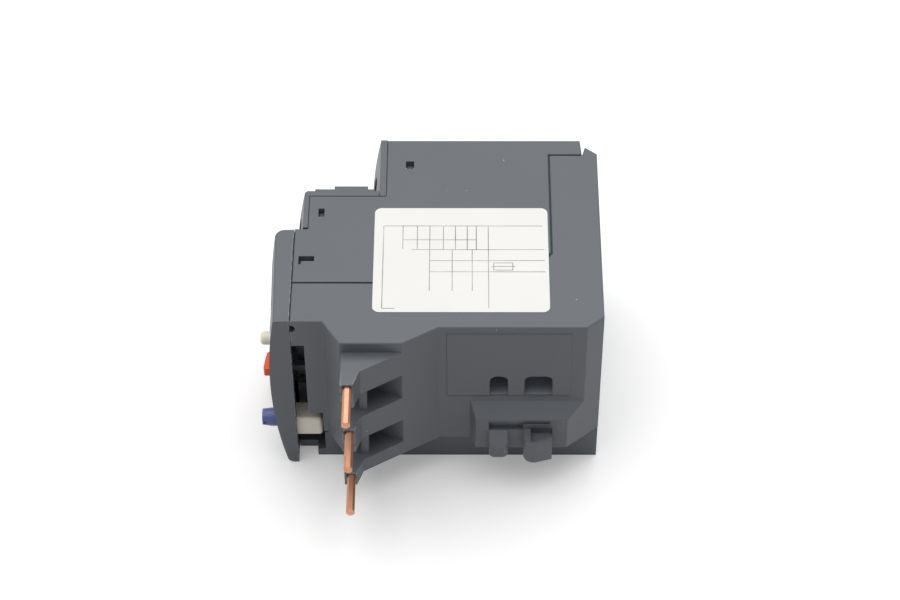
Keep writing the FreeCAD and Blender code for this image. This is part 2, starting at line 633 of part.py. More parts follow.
def contactor_housing():
    """Roof with the pin shrouds and the hook, and the rear leg behind the heaters."""
    slope_foot_x = PIN_WALL_REAR_X + (FLAT_Y - PIN_WALL_Y) / ROOF_SLOPE
    upper = [(FRONT_X, SEAM_Y), (FRONT_X, ROOF_Y), (ROOF_END_X, ROOF_Y), (PIN_WALL_X, PIN_WALL_Y),
             (PIN_WALL_REAR_X, PIN_WALL_Y), (slope_foot_x, FLAT_Y), (CHAMFER_X, FLAT_Y),
             (REAR_X, CHAMFER_Y)] + leg_corners()
    lower = [(FRONT_X, SEAM_Y), (FRONT_X, RECESS_STEP_Y), (RECESS_FRONT_X, RECESS_STEP_Y),
             (RECESS_FRONT_X, RECESS_Y), (REAR_X, RECESS_Y)] + leg_corners()
    body = fuse([round_edges(prism_z(upper, RECESS_Z, WIDTH), EDGE_ROUND, on_level(WIDTH)),
                 prism_z(lower, 0, RECESS_Z)])
    bay_x = PIN_WALL_X + PIN_WALL_THICK
    bay = [(bay_x, SHROUD_TIP_Y), (PIN_FLOOR_REAR_X, SHROUD_TIP_Y), (PIN_FLOOR_REAR_X, PIN_WALL_Y),
           (WEB_X + WEB_THICK, PIN_FLOOR_Y), (bay_x, PIN_FLOOR_Y)]
    pin_bay = prism_z(bay, RECESS_Z - 1, SHROUD_TOP_Z)
    web = box(WEB_X, WEB_X + WEB_THICK, WEB_TOP_Y, FLAT_Y, RECESS_Z, SHROUD_TOP_Z - WELD)
    panel = box(PANEL_X0, PANEL_X1, FLAT_Y - PANEL_PROUD, FLAT_Y + WALL / 2, PANEL_Z0, INNER_Z1)
    groove = box(PANEL_X0, PANEL_X1, FLAT_Y - 1, FLAT_Y + PANEL_GROOVE, PANEL_Z0 - PANEL_GROOVE, PANEL_Z0)
    body = body.cut([pin_bay, groove])
    body = fuse([body, web, panel, hook_block()] + [shroud(top) for top in SHROUD_Z])
    roof_in = FLAT_Y + WALL
    rear_in = REAR_X - WALL
    high_room = [(FRONT_X + WALL, SEAM_Y + WALL), (FRONT_X + WALL, ROOF_Y + WALL),
                 (ROOF_END_X + WALL, ROOF_Y + WALL), (ROOF_END_X + WALL, roof_in),
                 (CHAMFER_X - WALL / 2, roof_in), (rear_in, CHAMFER_Y + WALL / 2),
                 (rear_in, SEAM_Y + WALL)]
    chamber_z = RESET_Z - PLUNGER_WIDE / 2 - RUN_GAP
    chamber = box(FRONT_X - 1, CHAMBER_BACK_X, PLUNGER_Y0 - RUN_GAP, CHAMBER_DEPTH, chamber_z, CHAMBER_TOP_Z)
    low_chamber = box(FRONT_X - 1, CHAMBER_LOW_X, PIN_WALL_Y, CHAMBER_DEPTH, SIDE_WALL, CHAMBER_TOP_Z)
    stem_room = box(CHAMBER_BACK_X - WELD, BUTTON_TIP_X + RESET_TRAVEL + RUN_GAP, RECESS_Y + WALL / 2,
                    CHAMBER_DEPTH, SIDE_WALL, CHAMBER_TOP_Z)
    cuts = [prism_z(high_room, RECESS_Z + RIB, INNER_Z1),
            box(FRONT_X + WALL, rear_in, RECESS_Y + WALL, SEAM_Y + WALL, INNER_Z0, INNER_Z1),
            box(SEAM_REAR_X - WALL, rear_in, SEAM_Y, FOOT_Y - WALL, INNER_Z0, INNER_Z1),
            chamber,
            low_chamber,
            stem_room,
            box(FRONT_X - 1, SLOT_BACK_X, ROOF_Y - 1, SLOT_DEPTH, SLOT_Z0, WIDTH - SLOT_INSET),
            rod_y(ROOF_Y - 1, NOTCH_DEPTH, FRONT_X, WIDTH - NOTCH_INSET, NOTCH_R)]
    flag_reach = FLAG_POST + SLIDE_TRAVEL + ARM_GAP
    cuts.append(box(FRONT_X - 1, FRONT_X + WALL + 1, FLAG_Y - flag_reach + FLAG_POST, SEAM_Y + 1,
                    FLAG_Z - flag_reach, FLAG_Z + flag_reach))
    body = body.cut(cuts)
    guide = box(GUIDE_X, GUIDE_X + RIB, ROOF_Y + WALL / 2, CHAMBER_DEPTH, WALL, CHAMBER_TOP_Z + RIB)
    hooks = ((TONGUE_X, TONGUE_WIDE), (CLAW_X, CLAW_WIDE))
    back_y = FLAT_Y - PANEL_PROUD + POCKET_DEPTH + RIB
    backs = [box(x - RIB, x + wide + RIB, FLAT_Y + WELD, back_y, PANEL_Z0 - RIB, POCKET_TOP_Z + RIB)
             for x, wide in hooks]
    body = fuse([body, guide] + backs)
    holes = [pocket(x, wide) for x, wide in hooks]
    holes += [bar_x(GUIDE_X - 1, GUIDE_X + RIB + 1, RESET_STEM_Y, RESET_Z, STEM_HALF + SHAFT_FIT)]
    for z in PIN_Z:
        holes.append(box(PIN_X - PIN_WIDE / 2, PIN_X + PIN_WIDE / 2, SHROUD_TIP_Y - 1, PIN_RUN_Y,
                         z - PIN_THICK / 2, z + PIN_THICK / 2))
    return body.cut(holes + seam_grooves())


def terminal_housing():
    """Box that holds the heaters, the trip mechanism and both rows of terminals."""
    side = [(FRONT_X, SEAM_Y), (SEAM_BEND_X, SEAM_Y), (SEAM_REAR_X, SEAM_BEND_Y), (SEAM_REAR_X, FOOT_Y),
            (FOOT_REAR_X + EDGE_ROUND, FOOT_Y), (FOOT_REAR_X, BOTTOM_Y), (POWER_SEAM_X, BOTTOM_Y),
            (POWER_SEAM_X, STEP_Y), (AUX_SEAM_X, STEP_Y), (AUX_SEAM_X, AUX_TOP_Y), (FRONT_X, AUX_TOP_Y)]
    body = round_edges(prism_z(side, 0, WIDTH), EDGE_ROUND, on_level(WIDTH))
    room_x = FRONT_X + WALL
    heater_x = DIVIDER_X + RIB
    floor_y = BOTTOM_Y - WALL
    cuts = [box(room_x, DIVIDER_X, SEAM_Y - 1, AUX_TOP_Y - RIB / 2, INNER_Z0, INNER_Z1),
            box(SEAT_X - WALL, DIVIDER_X, AUX_TOP_Y - RIB, STEP_Y, INNER_Z0, INNER_Z1),
            box(AUX_SEAM_X - 1, DIVIDER_X, AUX_TOP_Y + RIB / 2, STEP_Y + 1, INNER_Z0, INNER_Z1),
            box(heater_x, SEAM_REAR_X + 1, SEAM_Y - 1, floor_y, INNER_Z0, INNER_Z1),
            box(POWER_SEAM_X - 1, heater_x + 1, STEP_Y + RIB, floor_y, INNER_Z0, INNER_Z1)]
    body = body.cut(cuts)
    ribs = [box(SEAT_X, SEAT_X + RIB, AUX_PLATE_TOP_Y, AUX_PLATE_END_Y, WALL, WIDTH - WALL),
            box(BAR_SEAT_X, BAR_SEAT_X + RIB, BAR_RUN_Y + BAR_THICK + BAR_BEND, floor_y + WELD,
                WALL, WIDTH - WALL),
            box(GUIDE_X, GUIDE_X + RIB, min(STOP_Y, TEST_Y) - SHOULDER_HALF - RIB, AUX_TOP_Y,
                WALL, TEST_Z + SHOULDER_HALF + RIB)]
    for z in AUX_WALL_Z:
        ribs.append(box(AUX_SEAM_X, DIVIDER_X + WELD, AUX_TOP_Y, STEP_Y, z - RIB / 2, z + RIB / 2))
    for z in POLE_WALL_Z:
        z0, z1 = z - RIB / 2, z + RIB / 2
        ribs.append(box(heater_x - WELD, SEAM_REAR_X - RUN_GAP, SEAM_BEND_Y, floor_y + WELD, z0, z1))
        ribs.append(box(heater_x - WELD, SEAM_BEND_X - RUN_GAP, SEAM_Y, SEAM_BEND_Y + WELD, z0, z1))
        ribs.append(box(POWER_SEAM_X, heater_x, STEP_Y + RIB - WELD, floor_y + WELD, z0, z1))
    ribs.append(rod_x(FRONT_X, LEVER_X + LEVER_THICK, LEVER_PIVOT_Y, LEVER_Z, LEVER_PIN_R))
    ribs.append(box(SCREEN_X, FRONT_X + WELD, SCREEN_Y, SCREEN_Y + RIB, SCREEN_Z0, SCREEN_Z1))
    body = fuse([body] + ribs)
    holes = [rod_x(FRONT_X - 1, room_x + 1, DIAL_Y, DIAL_Z, DIAL_SHAFT_R + SHAFT_FIT)]
    for y, z in ((STOP_Y, STOP_Z), (TEST_Y, TEST_Z)):
        holes.append(bar_x(GUIDE_X - 1, GUIDE_X + RIB + 1, y, z, STEM_HALF + SHAFT_FIT))
        holes.append(bar_x(FRONT_X - 1, room_x + 1, y, z, SHANK_HALF + RUN_GAP))
    for z in AUX_Z:
        holes.append(bar_x(SEAT_X - 1, SEAT_X + RIB + 1, AUX_Y, z, AUX_SHANK_R + RUN_GAP))
    for z in POLE_Z:
        holes.append(bar_x(BAR_SEAT_X - 1, BAR_SEAT_X + RIB + 1, LOAD_Y, z, LOAD_SHANK_R + RUN_GAP))
        holes.append(box(LOAD_ENTRY_X0, LOAD_ENTRY_X1, floor_y - 1, BOTTOM_Y + 1,
                         z - LOAD_ENTRY_WIDE / 2, z + LOAD_ENTRY_WIDE / 2))
    slot_y0 = PLATE_LATCH[1] - RUN_GAP
    slot_y1 = PLATE_LATCH[1] + PLATE_LATCH[3] + RUN_GAP
    arm_slot = box(FRONT_X - 1, room_x + 1, slot_y0, slot_y1, INNER_Z1 - LATCH_THICK - RUN_GAP, INNER_Z1)
    holes += both_sides(arm_slot)
    for window in (LOAD_LATCH, AUX_LATCH, PLATE_LATCH):
        holes += latch_window(window, WALL)
    leg_wide, leg_tall = PLATE_LATCH_LEG
    holes += latch_window((PLATE_LATCH[0], PLATE_LATCH[1] - leg_tall, leg_wide, leg_tall), WALL)
    return body.cut(holes + seam_grooves())


def aux_cover():
    """Crowned front over the auxiliary terminals, with a framed shelf of wire mouths under them."""
    top_y = AUX_TOP_Y + RUN_GAP
    skin = crown(AUX_FRONT_X, POWER_SEAM_X, top_y, COVER_STEP_Y)
    skin = bevel_edges(skin, COVER_BEVEL, lambda e: e.Length > WIDTH
                       and e.CenterOfMass.x < AUX_FRONT_X and e.CenterOfMass.y > AUX_Y)
    room = crown(AUX_FRONT_X + COVER_WALL, POWER_SEAM_X, top_y - 1, STEP_Y)
    inner = box(AUX_FRONT_X - CROWN_RISE, POWER_SEAM_X, top_y + COVER_WALL, STEP_Y,
                COVER_WALL, WIDTH - COVER_WALL)
    side_room = box(AUX_SEAM_X, POWER_SEAM_X + 1, top_y - 1, STEP_Y, -1, WIDTH + 1)
    z0, z1 = SHELF_INSET, WIDTH - SHELF_INSET
    shelf = box(SHELF_X0, SHELF_X1, STEP_Y, COVER_STEP_Y + SHELF_RISE, z0, z1)
    frame = box(FRAME_X0, FRAME_X1, STEP_Y, COVER_STEP_Y + FRAME_RISE, z0, z1)
    shell = skin.cut([room.common(inner), side_room])
    shell = fuse([shell, shelf, frame] + latch(AUX_LATCH, AUX_SEAM_X - WELD))
    holes = [crown(POWER_FRONT_X - SLIP_FIT, POWER_SEAM_X + 1, STEP_Y - 1, BOTTOM_Y)]
    for z in AUX_Z:
        holes.append(rod_x(AUX_FRONT_X - CROWN_RISE - 1, AUX_HEAD_X, AUX_Y, z, AUX_HOLE_R))
        holes.append(box(AUX_ENTRY_X0, AUX_ENTRY_X1, STEP_Y - 1, COVER_STEP_Y + FRAME_RISE + 1,
                         z - AUX_ENTRY_WIDE / 2, z + AUX_ENTRY_WIDE / 2))
    return shell.cut(holes)


def load_cover():
    """Crowned front over the load terminals."""
    skin = crown(POWER_FRONT_X, POWER_SEAM_X, STEP_Y, BOTTOM_Y)
    room = crown(POWER_FRONT_X + COVER_WALL, POWER_SEAM_X + 1, COVER_STEP_Y, BOTTOM_Y - COVER_WALL)
    shell = fuse([skin.cut(room)] + latch(LOAD_LATCH, POWER_SEAM_X - 2 * WELD))
    return shell.cut([rod_x(POWER_FRONT_X - CROWN_RISE - 1, LOAD_HEAD_X, LOAD_Y, z, LOAD_HOLE_R)
                      for z in POLE_Z])


def tilted(shape):
    """Turns a piece of the front with the plate, about the plate's upper back edge."""
    turned = shape.copy()
    turned.rotate(V(PLATE_BACK_X, 0, 0), V(0, 0, 1), PLATE_TILT)
    return turned


def plate_crown(deep, y0, y1):
    """Block behind the plate's front or a surface at some depth under it, past the plate's back."""
    return crown(PLATE_EDGE_X + deep, PLATE_BACK_X + WALL, y0, y1, PLATE_RISE, PLATE_LEAN)


def pane_room(gap, deep, proud):
    """Crowned slab in the plate's window, grown by a gap all round."""
    skin = plate_crown(-proud, 0, PLATE_LENGTH)
    core = plate_crown(deep - proud, -1, PLATE_LENGTH + 1)
    frame = box(-PLATE_LENGTH, PLATE_BACK_X, PANE_Y - gap, PANE_Y + PANE_LENGTH + gap,
                PANE_Z - gap, PANE_Z + PANE_WIDTH + gap)
    return skin.cut(core).common(frame)


def pane_hinge():
    """X and Z of the pane's hinge line before the plate is tilted."""
    z = PANE_Z + PANE_WIDTH - PANE_BARREL_R
    across = (z - WIDTH / 2) / (WIDTH / 2)
    front_x = PLATE_EDGE_X + PLATE_LEAN * (1 - z / WIDTH) - PLATE_RISE * (1 - across * across)
    return front_x - PANE_PROUD + PANE_BARREL_R, z


def front_plate():
    """Crowned snap-on front with the dial window, the flag window and the button holes."""
    past_x = PLATE_BACK_X + WALL
    plate = plate_crown(0, 0, PLATE_LENGTH)
    plate = round_edges(plate, PLATE_END_ROUND, lambda e: e.Length > WIDTH
                        and e.CenterOfMass.x < PLATE_EDGE_X and e.CenterOfMass.y > PLATE_LENGTH / 2)
    for level, lean, radius in ((0, PLATE_LEAN, PLATE_LOW_ROUND), (WIDTH, 0, PLATE_EDGE_ROUND)):
        plate = round_edges(plate, radius, lambda e: e.CenterOfMass.x < PLATE_EDGE_X + lean + 0.01
                            and on_level(level)(e) and e.CenterOfMass.y < PLATE_LENGTH - 1)
    hollow = plate_crown(PLATE_WALL, PLATE_WALL, PLATE_LENGTH - PLATE_WALL)
    hollow = hollow.common(box(-PLATE_LENGTH, PLATE_LENGTH, 0, PLATE_LENGTH, PLATE_WALL, WIDTH - PLATE_WALL))
    pane_x, pane_z = pane_hinge()
    y0, y1 = PANE_Y - RUN_GAP, PANE_Y + PANE_LENGTH + RUN_GAP
    window = box(-PLATE_LENGTH, past_x, PANE_Y + PANE_RIM, PANE_Y + PANE_LENGTH - PANE_RIM,
                 PANE_Z + PANE_RIM, PANE_Z + PANE_WIDTH - 2 * PANE_RIM)
    cuts = [hollow, window, pane_room(RUN_GAP, PANE_THICK + PANE_PROUD + RUN_GAP, PANE_PROUD),
            rod_y(y0, y1, pane_x, pane_z, PANE_BARREL_R + RUN_GAP),
            rod_y(y0 - PANE_TRUNNION, y1 + PANE_TRUNNION, pane_x, pane_z, PANE_TRUNNION_R + SHAFT_FIT),
            box(-PLATE_LENGTH, past_x, FLAG_WINDOW_Y, FLAG_WINDOW_Y + FLAG_WINDOW_TALL,
                FLAG_WINDOW_Z, FLAG_WINDOW_Z + FLAG_WINDOW_WIDE)]
    plate = tilted(plate.cut(cuts))
    holes = [box(PLATE_BACK_X, past_x + 1, -1, PLATE_LENGTH + 1, -1, WIDTH + 1),
             rod_x(-PLATE_LENGTH, past_x, RESET_Y, RESET_Z, RESET_CAP_R + RUN_GAP),
             rod_x(-PLATE_LENGTH, past_x, TEST_Y, TEST_Z, TEST_R + RUN_GAP),
             box(-PLATE_LENGTH, past_x, STOP_Y - STOP_TALL / 2 - RUN_GAP, STOP_Y + STOP_TALL / 2 + RUN_GAP,
                 STOP_CAP_Z - STOP_WIDE / 2 - RUN_GAP, STOP_CAP_Z + STOP_WIDE / 2 + RUN_GAP),
             box(PLUNGER_X0 - RUN_GAP, past_x, PLUNGER_Y0 - RUN_GAP, 2 * PLATE_WALL,
                 RESET_Z - PLUNGER_WIDE / 2 - RUN_GAP, RESET_Z + PLUNGER_WIDE / 2 + RUN_GAP)]
    plate = plate.cut(holes)
    return fuse([plate] + latch(PLATE_LATCH, PLATE_ARM_X))


def dial_cover():
    """Clear pane over the dial, with a barrel and two trunnions along its outer edge."""
    pane_x, pane_z = pane_hinge()
    y0, y1 = PANE_Y, PANE_Y + PANE_LENGTH
    pane = pane_room(0, PANE_THICK, PANE_PROUD)
    barrel = rod_y(y0, y1, pane_x, pane_z, PANE_BARREL_R)
    pins = rod_y(y0 - PANE_TRUNNION, y1 + PANE_TRUNNION, pane_x, pane_z, PANE_TRUNNION_R)
    keep = box(-PLATE_LENGTH, PLATE_LENGTH, 0, PLATE_LENGTH, 0, pane_z)
    return tilted(fuse([pane.common(keep), barrel, pins]))


def setting_dial():
    """Slotted dial on a shaft, with a spiral cam inside the housing."""
    head = rod_x(DIAL_FRONT_X, DIAL_FRONT_X + DIAL_THICK, DIAL_Y, DIAL_Z, DIAL_R)
    head = bevel_edges(head, DIAL_SLOT_DEEP / 2, lambda e: abs(e.CenterOfMass.x - DIAL_FRONT_X) < 0.01)
    shaft = rod_x(DIAL_FRONT_X + DIAL_THICK, DIAL_SHAFT_END_X, DIAL_Y, DIAL_Z, DIAL_SHAFT_R)
    steps = 24
    rim = []
    for k in range(steps + 1):
        turn = -180 + 360 * k / steps
        radius = CAM_R + CAM_RISE * turn / DIAL_SWEEP
        angle = math.radians(-90 - turn)
        rim.append(V(CAM_X, DIAL_Y + radius * math.cos(angle), DIAL_Z + radius * math.sin(angle)))
    cam = Part.Face(Part.makePolygon(rim + rim[:1])).extrude(V(CAM_THICK, 0, 0))
    slot = box(DIAL_FRONT_X - 1, DIAL_FRONT_X + DIAL_SLOT_DEEP, DIAL_Y - DIAL_R * 0.6, DIAL_Y + DIAL_R * 0.6,
               DIAL_Z - DIAL_SLOT_WIDE / 2, DIAL_Z + DIAL_SLOT_WIDE / 2)
    return fuse([head, shaft, cam]).cut(slot)


def setting_lever():
    """Cam follower on a fixed pin; it carries the pivot of the trip lever."""
    half = LEVER_WIDE / 2
    bar = prism_x([(DIAL_Y - CAM_R, LEVER_Z - half), (LEVER_PIVOT_Y, LEVER_Z - half),
                   (LEVER_PIVOT_Y, LEVER_Z + half), (DIAL_Y - CAM_R, LEVER_Z + half)],
                  LEVER_X, LEVER_X + LEVER_THICK)
    boss = rod_x(LEVER_X, LEVER_X + LEVER_THICK, LEVER_PIVOT_Y, LEVER_Z, LEVER_BOSS_R)
    pivot = rod_x(LEVER_X, TRIP_X + LEVER_THICK, TRIP_PIVOT_Y, LEVER_Z, LEVER_PIN_R)
    hole = rod_x(LEVER_X - 1, LEVER_X + LEVER_THICK + 1, LEVER_PIVOT_Y, LEVER_Z, LEVER_PIN_R + SHAFT_FIT)
    return fuse([bar, boss, pivot]).cut(hole)


def trip_lever():
    """Lever with a tail towards the contact carrier and a seat for the compensating strip."""
    half = FLAG_POST / 2
    boss = rod_x(TRIP_X, TRIP_X + LEVER_THICK, TRIP_PIVOT_Y, LEVER_Z, LEVER_BOSS_R)
    tail = box(TRIP_X, TRIP_X + LEVER_THICK, TRIP_PIVOT_Y, TRIP_TAIL_Y, LEVER_Z - half, LEVER_Z + half)
    seat_z = LEVER_Z + COMP_THICK / 2
    seat = box(TRIP_X, TRIP_X + LEVER_THICK, TRIP_PIVOT_Y - 2 * LEVER_BOSS_R, TRIP_PIVOT_Y,
               seat_z, seat_z + RIB)
    reach = prism_x([(TRIP_PIVOT_Y - half, LEVER_Z), (FLAG_Y - half, FLAG_Z - half),
                     (FLAG_Y + half, FLAG_Z - half), (TRIP_PIVOT_Y + half, LEVER_Z)],
                    TRIP_X, TRIP_X + LEVER_THICK)
    post = box(FLAG_X + FLAG_THICK, TRIP_X + LEVER_THICK, FLAG_Y - half, FLAG_Y + half,
               FLAG_Z - half, FLAG_Z + half)
    hole = rod_x(TRIP_X - 1, TRIP_X + LEVER_THICK + 1, TRIP_PIVOT_Y, LEVER_Z, LEVER_PIN_R + SHAFT_FIT)
    return fuse([boss, tail, seat, reach, post]).cut(hole)


def compensator_strip():
    """Bimetal strip on the trip lever that takes up the temperature of the room."""
    return box(TRIP_X, TRIP_X + COMP_WIDE, COMP_TIP_Y, TRIP_PIVOT_Y - LEVER_BOSS_R,
               LEVER_Z - COMP_THICK / 2, LEVER_Z + COMP_THICK / 2)


def trip_flag():
    """Coloured flag that swings behind the small window when the relay trips."""
    half = FLAG_POST / 2
    return box(FLAG_X, FLAG_X + FLAG_THICK, FLAG_Y - half, FLAG_Y - half + FLAG_TALL,
               FLAG_Z - half, FLAG_Z - half + FLAG_WIDE)


def slide_plate(y):
    """Slide across the three poles with a slot round the tip of each bimetal strip."""
    x0 = METAL_X - RUN_GAP - SLIDE_BORDER
    x1 = METAL_X + METAL_WIDE + RUN_GAP + SLIDE_BORDER
    plate = box(x0, x1, y, y + SLIDE_THICK, SLIDE_Z0, SLIDE_Z1)
    slots = []
    for z in POLE_Z:
        low = z - METAL_THICK / 2 - SLIDE_TRAVEL - RUN_GAP
        high = z + METAL_THICK / 2 + RUN_GAP
        slots.append(box(METAL_X - RUN_GAP, x1 - SLIDE_BORDER, y - 1, y + SLIDE_THICK + 1, low, high))
    return plate.cut(slots)


def trip_slide():
    """Upper slide with the arm that pushes the compensating strip."""
    plate = slide_plate(TRIP_SLIDE_Y)
    arm = box(ARM_TIP_X, METAL_X - RUN_GAP - WELD, TRIP_SLIDE_Y, TRIP_SLIDE_Y + SLIDE_THICK,
              ARM_Z1 - ARM_WIDE, ARM_Z1)
    return fuse([plate, arm])


def differential_slide():
    """Lower slide that stays back when one phase is missing."""
    return slide_plate(TRIP_SLIDE_Y + SLIDE_THICK + RUN_GAP)


def contact_carrier():
    """Sliding bar that carries both contact bridges."""
    bar_z0 = STRIP_Z[0] + STRIP_WIDE / 2
    bar_z1 = STRIP_Z[3] - STRIP_WIDE / 2
    bar = box(CARRIER_X, CARRIER_X + CARRIER_THICK, CARRIER_Y, CARRIER_Y + CARRIER_TALL, bar_z0, bar_z1)
    middle = (STRIP_Z[2] + STRIP_Z[3]) / 2
    arm_x = AUX_PLATE_X - TIP_TALL - CONTACT_GAP - CARRIER_TRAVEL
    arm = box(arm_x, CARRIER_X, BRIDGE_Y - RIB, BRIDGE_Y + RIB, middle - RIB, middle + RIB)
    return fuse([bar, arm])


def bridge(rear_x, low, high):
    """Flat bridge with bevelled ends that joins two contact strips."""
    half = BRIDGE_WIDE / 2
    ring = [(BRIDGE_Y - half, low), (BRIDGE_Y, low - half), (BRIDGE_Y + half, low),
            (BRIDGE_Y + half, high), (BRIDGE_Y, high + half), (BRIDGE_Y - half, high)]
    return prism_x(ring, rear_x - BRIDGE_THICK, rear_x)


def aux_strip(i):
    """Terminal plate that runs up into a contact strip with its welded tip."""
    half, neck = AUX_PLATE_WIDE / 2, STRIP_WIDE / 2
    shape = prism_x([(STRIP_TOP_Y, STRIP_Z[i] - neck), (AUX_PLATE_TOP_Y, STRIP_Z[i] - neck),
                     (AUX_PLATE_TOP_Y, AUX_Z[i] - half), (AUX_PLATE_END_Y, AUX_Z[i] - half),
                     (AUX_PLATE_END_Y, AUX_Z[i] + half), (AUX_PLATE_TOP_Y, AUX_Z[i] + half),
                     (AUX_PLATE_TOP_Y, STRIP_Z[i] + neck), (STRIP_TOP_Y, STRIP_Z[i] + neck)],
                    AUX_PLATE_X, SEAT_X)
    if i < 2:
        tip = bar_x(SEAT_X, CARRIER_X - BRIDGE_THICK - CONTACT_GAP, BRIDGE_Y, STRIP_Z[i], TIP_HALF)
    else:
        tip = bar_x(AUX_PLATE_X - TIP_TALL, AUX_PLATE_X, BRIDGE_Y, STRIP_Z[i], TIP_HALF)
    hole = flat_rod(AUX_PLATE_X - 1, SEAT_X + 1, AUX_Y, AUX_Z[i], AUX_SHANK_R + SHAFT_FIT, SHANK_FLATS)
    return fuse([shape, tip]).cut(hole)


def clamp(x, y, z, size, thick, radius):
    """Square clamp washer with broken corners and a hole for its screw."""
    half = size / 2
    turn = size * 0.12
    ring = [(half - turn, -half), (half, turn - half), (half, half - turn), (half - turn, half)]
    ring += [(-a, -b) for a, b in ring]
    ring = [(y + a, z + b) for a, b in ring]
    hole = flat_rod(x - 1, x + thick + 1, y, z, radius + SHAFT_FIT, SHANK_FLATS)
    return prism_x(ring, x, x + thick).cut(hole)


def screw(x, y, z, head_r, head_tall, shank_r, shank_long):
    """Slotted cheese-head terminal screw; its thread is a plain shank of a few flats."""
    head = flat_rod(x, x + head_tall, y, z, head_r, 2 * SHANK_FLATS)
    slot = box(x - 1, x + head_tall * 0.45, y - head_r, y + head_r, z - SCREW_SLOT / 2, z + SCREW_SLOT / 2)
    shank = flat_rod(x + head_tall, x + head_tall + shank_long, y, z, shank_r, SHANK_FLATS)
    return fuse([head.cut(slot), shank])


def load_bar(z):
    """Bent strip from the load terminal to the foot of the bimetal strip."""
    x = BAR_X + BAR_THICK / 2
    run_y = BAR_RUN_Y + BAR_THICK / 2
    end_y = LOAD_Y + LOAD_CLAMP / 2
    points = [V(x, end_y, z), V(x, run_y, z), V(BAR_END_X, run_y, z)]
    strip = bent_bar(points, BAR_BEND, BAR_THICK, BAR_WIDE, BAR_THICK * 0.2)
    face = z + METAL_THICK / 2
    tab = box(METAL_X, METAL_X + METAL_WIDE, TAB_TOP_Y, run_y, face, face + TAB_THICK)
    hole = flat_rod(BAR_X - 1, BAR_X + BAR_THICK + 1, LOAD_Y, z, LOAD_SHANK_R + SHAFT_FIT, SHANK_FLATS)
    return fuse([strip, tab]).cut(hole)


def line_pin(pin_z, pole_z):
    """Copper pin from the contactor, down through its shroud and across to its pole."""
    points = [V(PIN_X, PIN_TIP_Y, pin_z), V(PIN_X, PIN_RUN_Y, pin_z), V(PIN_CROSS_X, PIN_RUN_Y, pin_z),
              V(PIN_CROSS_X, PIN_END_Y, pin_z), V(PIN_CROSS_X, PIN_END_Y, pole_z),
              V(PIN_END_X, PIN_END_Y, pole_z)]
    pin = bent_bar(points, PIN_BEND, PIN_WIDE, PIN_THICK, PIN_CORNER)
    return bevel_edges(pin, PIN_TIP, lambda e: all(abs(v.Y - PIN_TIP_Y) < 1e-6 for v in e.Vertexes))


def heater(z):
    """Square heater wire wound round the bimetal strip, with a lead to the pin and one to the bar."""
    half = METAL_THICK / 2 + COIL_AIR + COIL_WIRE / 2
    x0 = METAL_X - COIL_AIR - COIL_WIRE / 2
    x1 = METAL_X + METAL_WIDE + COIL_AIR + COIL_WIRE / 2
    lead_x = PIN_END_X - COIL_WIRE
    points = [V(lead_x, PIN_END_Y + PIN_THICK / 2, z), V(lead_x, COIL_TOP_Y - COIL_PITCH / 2, z),
              V(x0, COIL_TOP_Y, z - half)]
    ring = [(x1, -half), (x1, half), (x0, half), (x0, -half)]
    for k in range(4 * COIL_TURNS):
        x, side = ring[k % 4]
        points.append(V(x, COIL_TOP_Y + (k + 1) * COIL_PITCH / 4, z + side))
    points.append(V(x0, BAR_RUN_Y, z - half))
    return square_wire(points, COIL_WIRE)


def bimetal(z):
    """Flat bimetal strip that bends across the relay as it warms."""
    half = METAL_THICK / 2
    return box(METAL_X, METAL_X + METAL_WIDE, METAL_TIP_Y, METAL_FOOT_Y, z - half, z + half)


def spring(x0, x1, y, z):
    """Coil spring round a stem, as long as the space between its seats."""
    inset = SPRING_WIRE / 2 + SLIP_FIT
    steps = SPRING_TURNS * SPRING_SIDES
    pitch = (x1 - x0 - 2 * inset) / steps
    points = []
    for k in range(steps + 1):
        angle = 2 * math.pi * k / SPRING_SIDES
        points.append(V(x0 + inset + k * pitch, y, z)
                      + V(0, math.cos(angle), math.sin(angle)) * SPRING_R)
    return square_wire(points, SPRING_WIRE, V(1, 0, 0))


def button_stem(y, z):
    """Square shank, shoulder and stem that the stop and test buttons share."""
    return [bar_x(SHANK_X, SHOULDER_X + WELD, y, z, SHANK_HALF),
            bar_x(SHOULDER_X, SHOULDER_X + SHOULDER_THICK, y, z, SHOULDER_HALF),
            bar_x(SHOULDER_X, BUTTON_TIP_X, y, z, STEM_HALF)]


def stop_button():
    """Red wedge-shaped button."""
    half = STOP_TALL / 2
    side = [(STOP_TIP_X, STOP_Y - half, STOP_ROUND), (STOP_LOW_X, STOP_Y + half, STOP_ROUND),
            (STOP_BACK_X, STOP_Y + half), (STOP_BACK_X, STOP_Y - half)]
    top = STOP_CAP_Z + STOP_WIDE / 2
    cap = prism_z(side, STOP_CAP_Z - STOP_WIDE / 2, top)
    neck = box(STOP_BACK_X - WELD, SHOULDER_X, STOP_Y - SHANK_HALF, STOP_Y + SHANK_HALF,
               STOP_Z - SHANK_HALF, top)
    return fuse([cap, neck] + button_stem(STOP_Y, STOP_Z))


def test_button():
    """Round button with a rounded tip, drawn as two short cones."""
    steps = [math.radians(angle) for angle in (20, 55, 90)]
    tip = [(TEST_TIP_X + TEST_NOSE * (1 - math.cos(a)), TEST_R - TEST_NOSE * (1 - math.sin(a)))
           for a in steps]
    cap = turned(tip + [(TEST_BACK_X, TEST_R)], TEST_Y, TEST_Z)
    return fuse([cap] + button_stem(TEST_Y, TEST_Z))


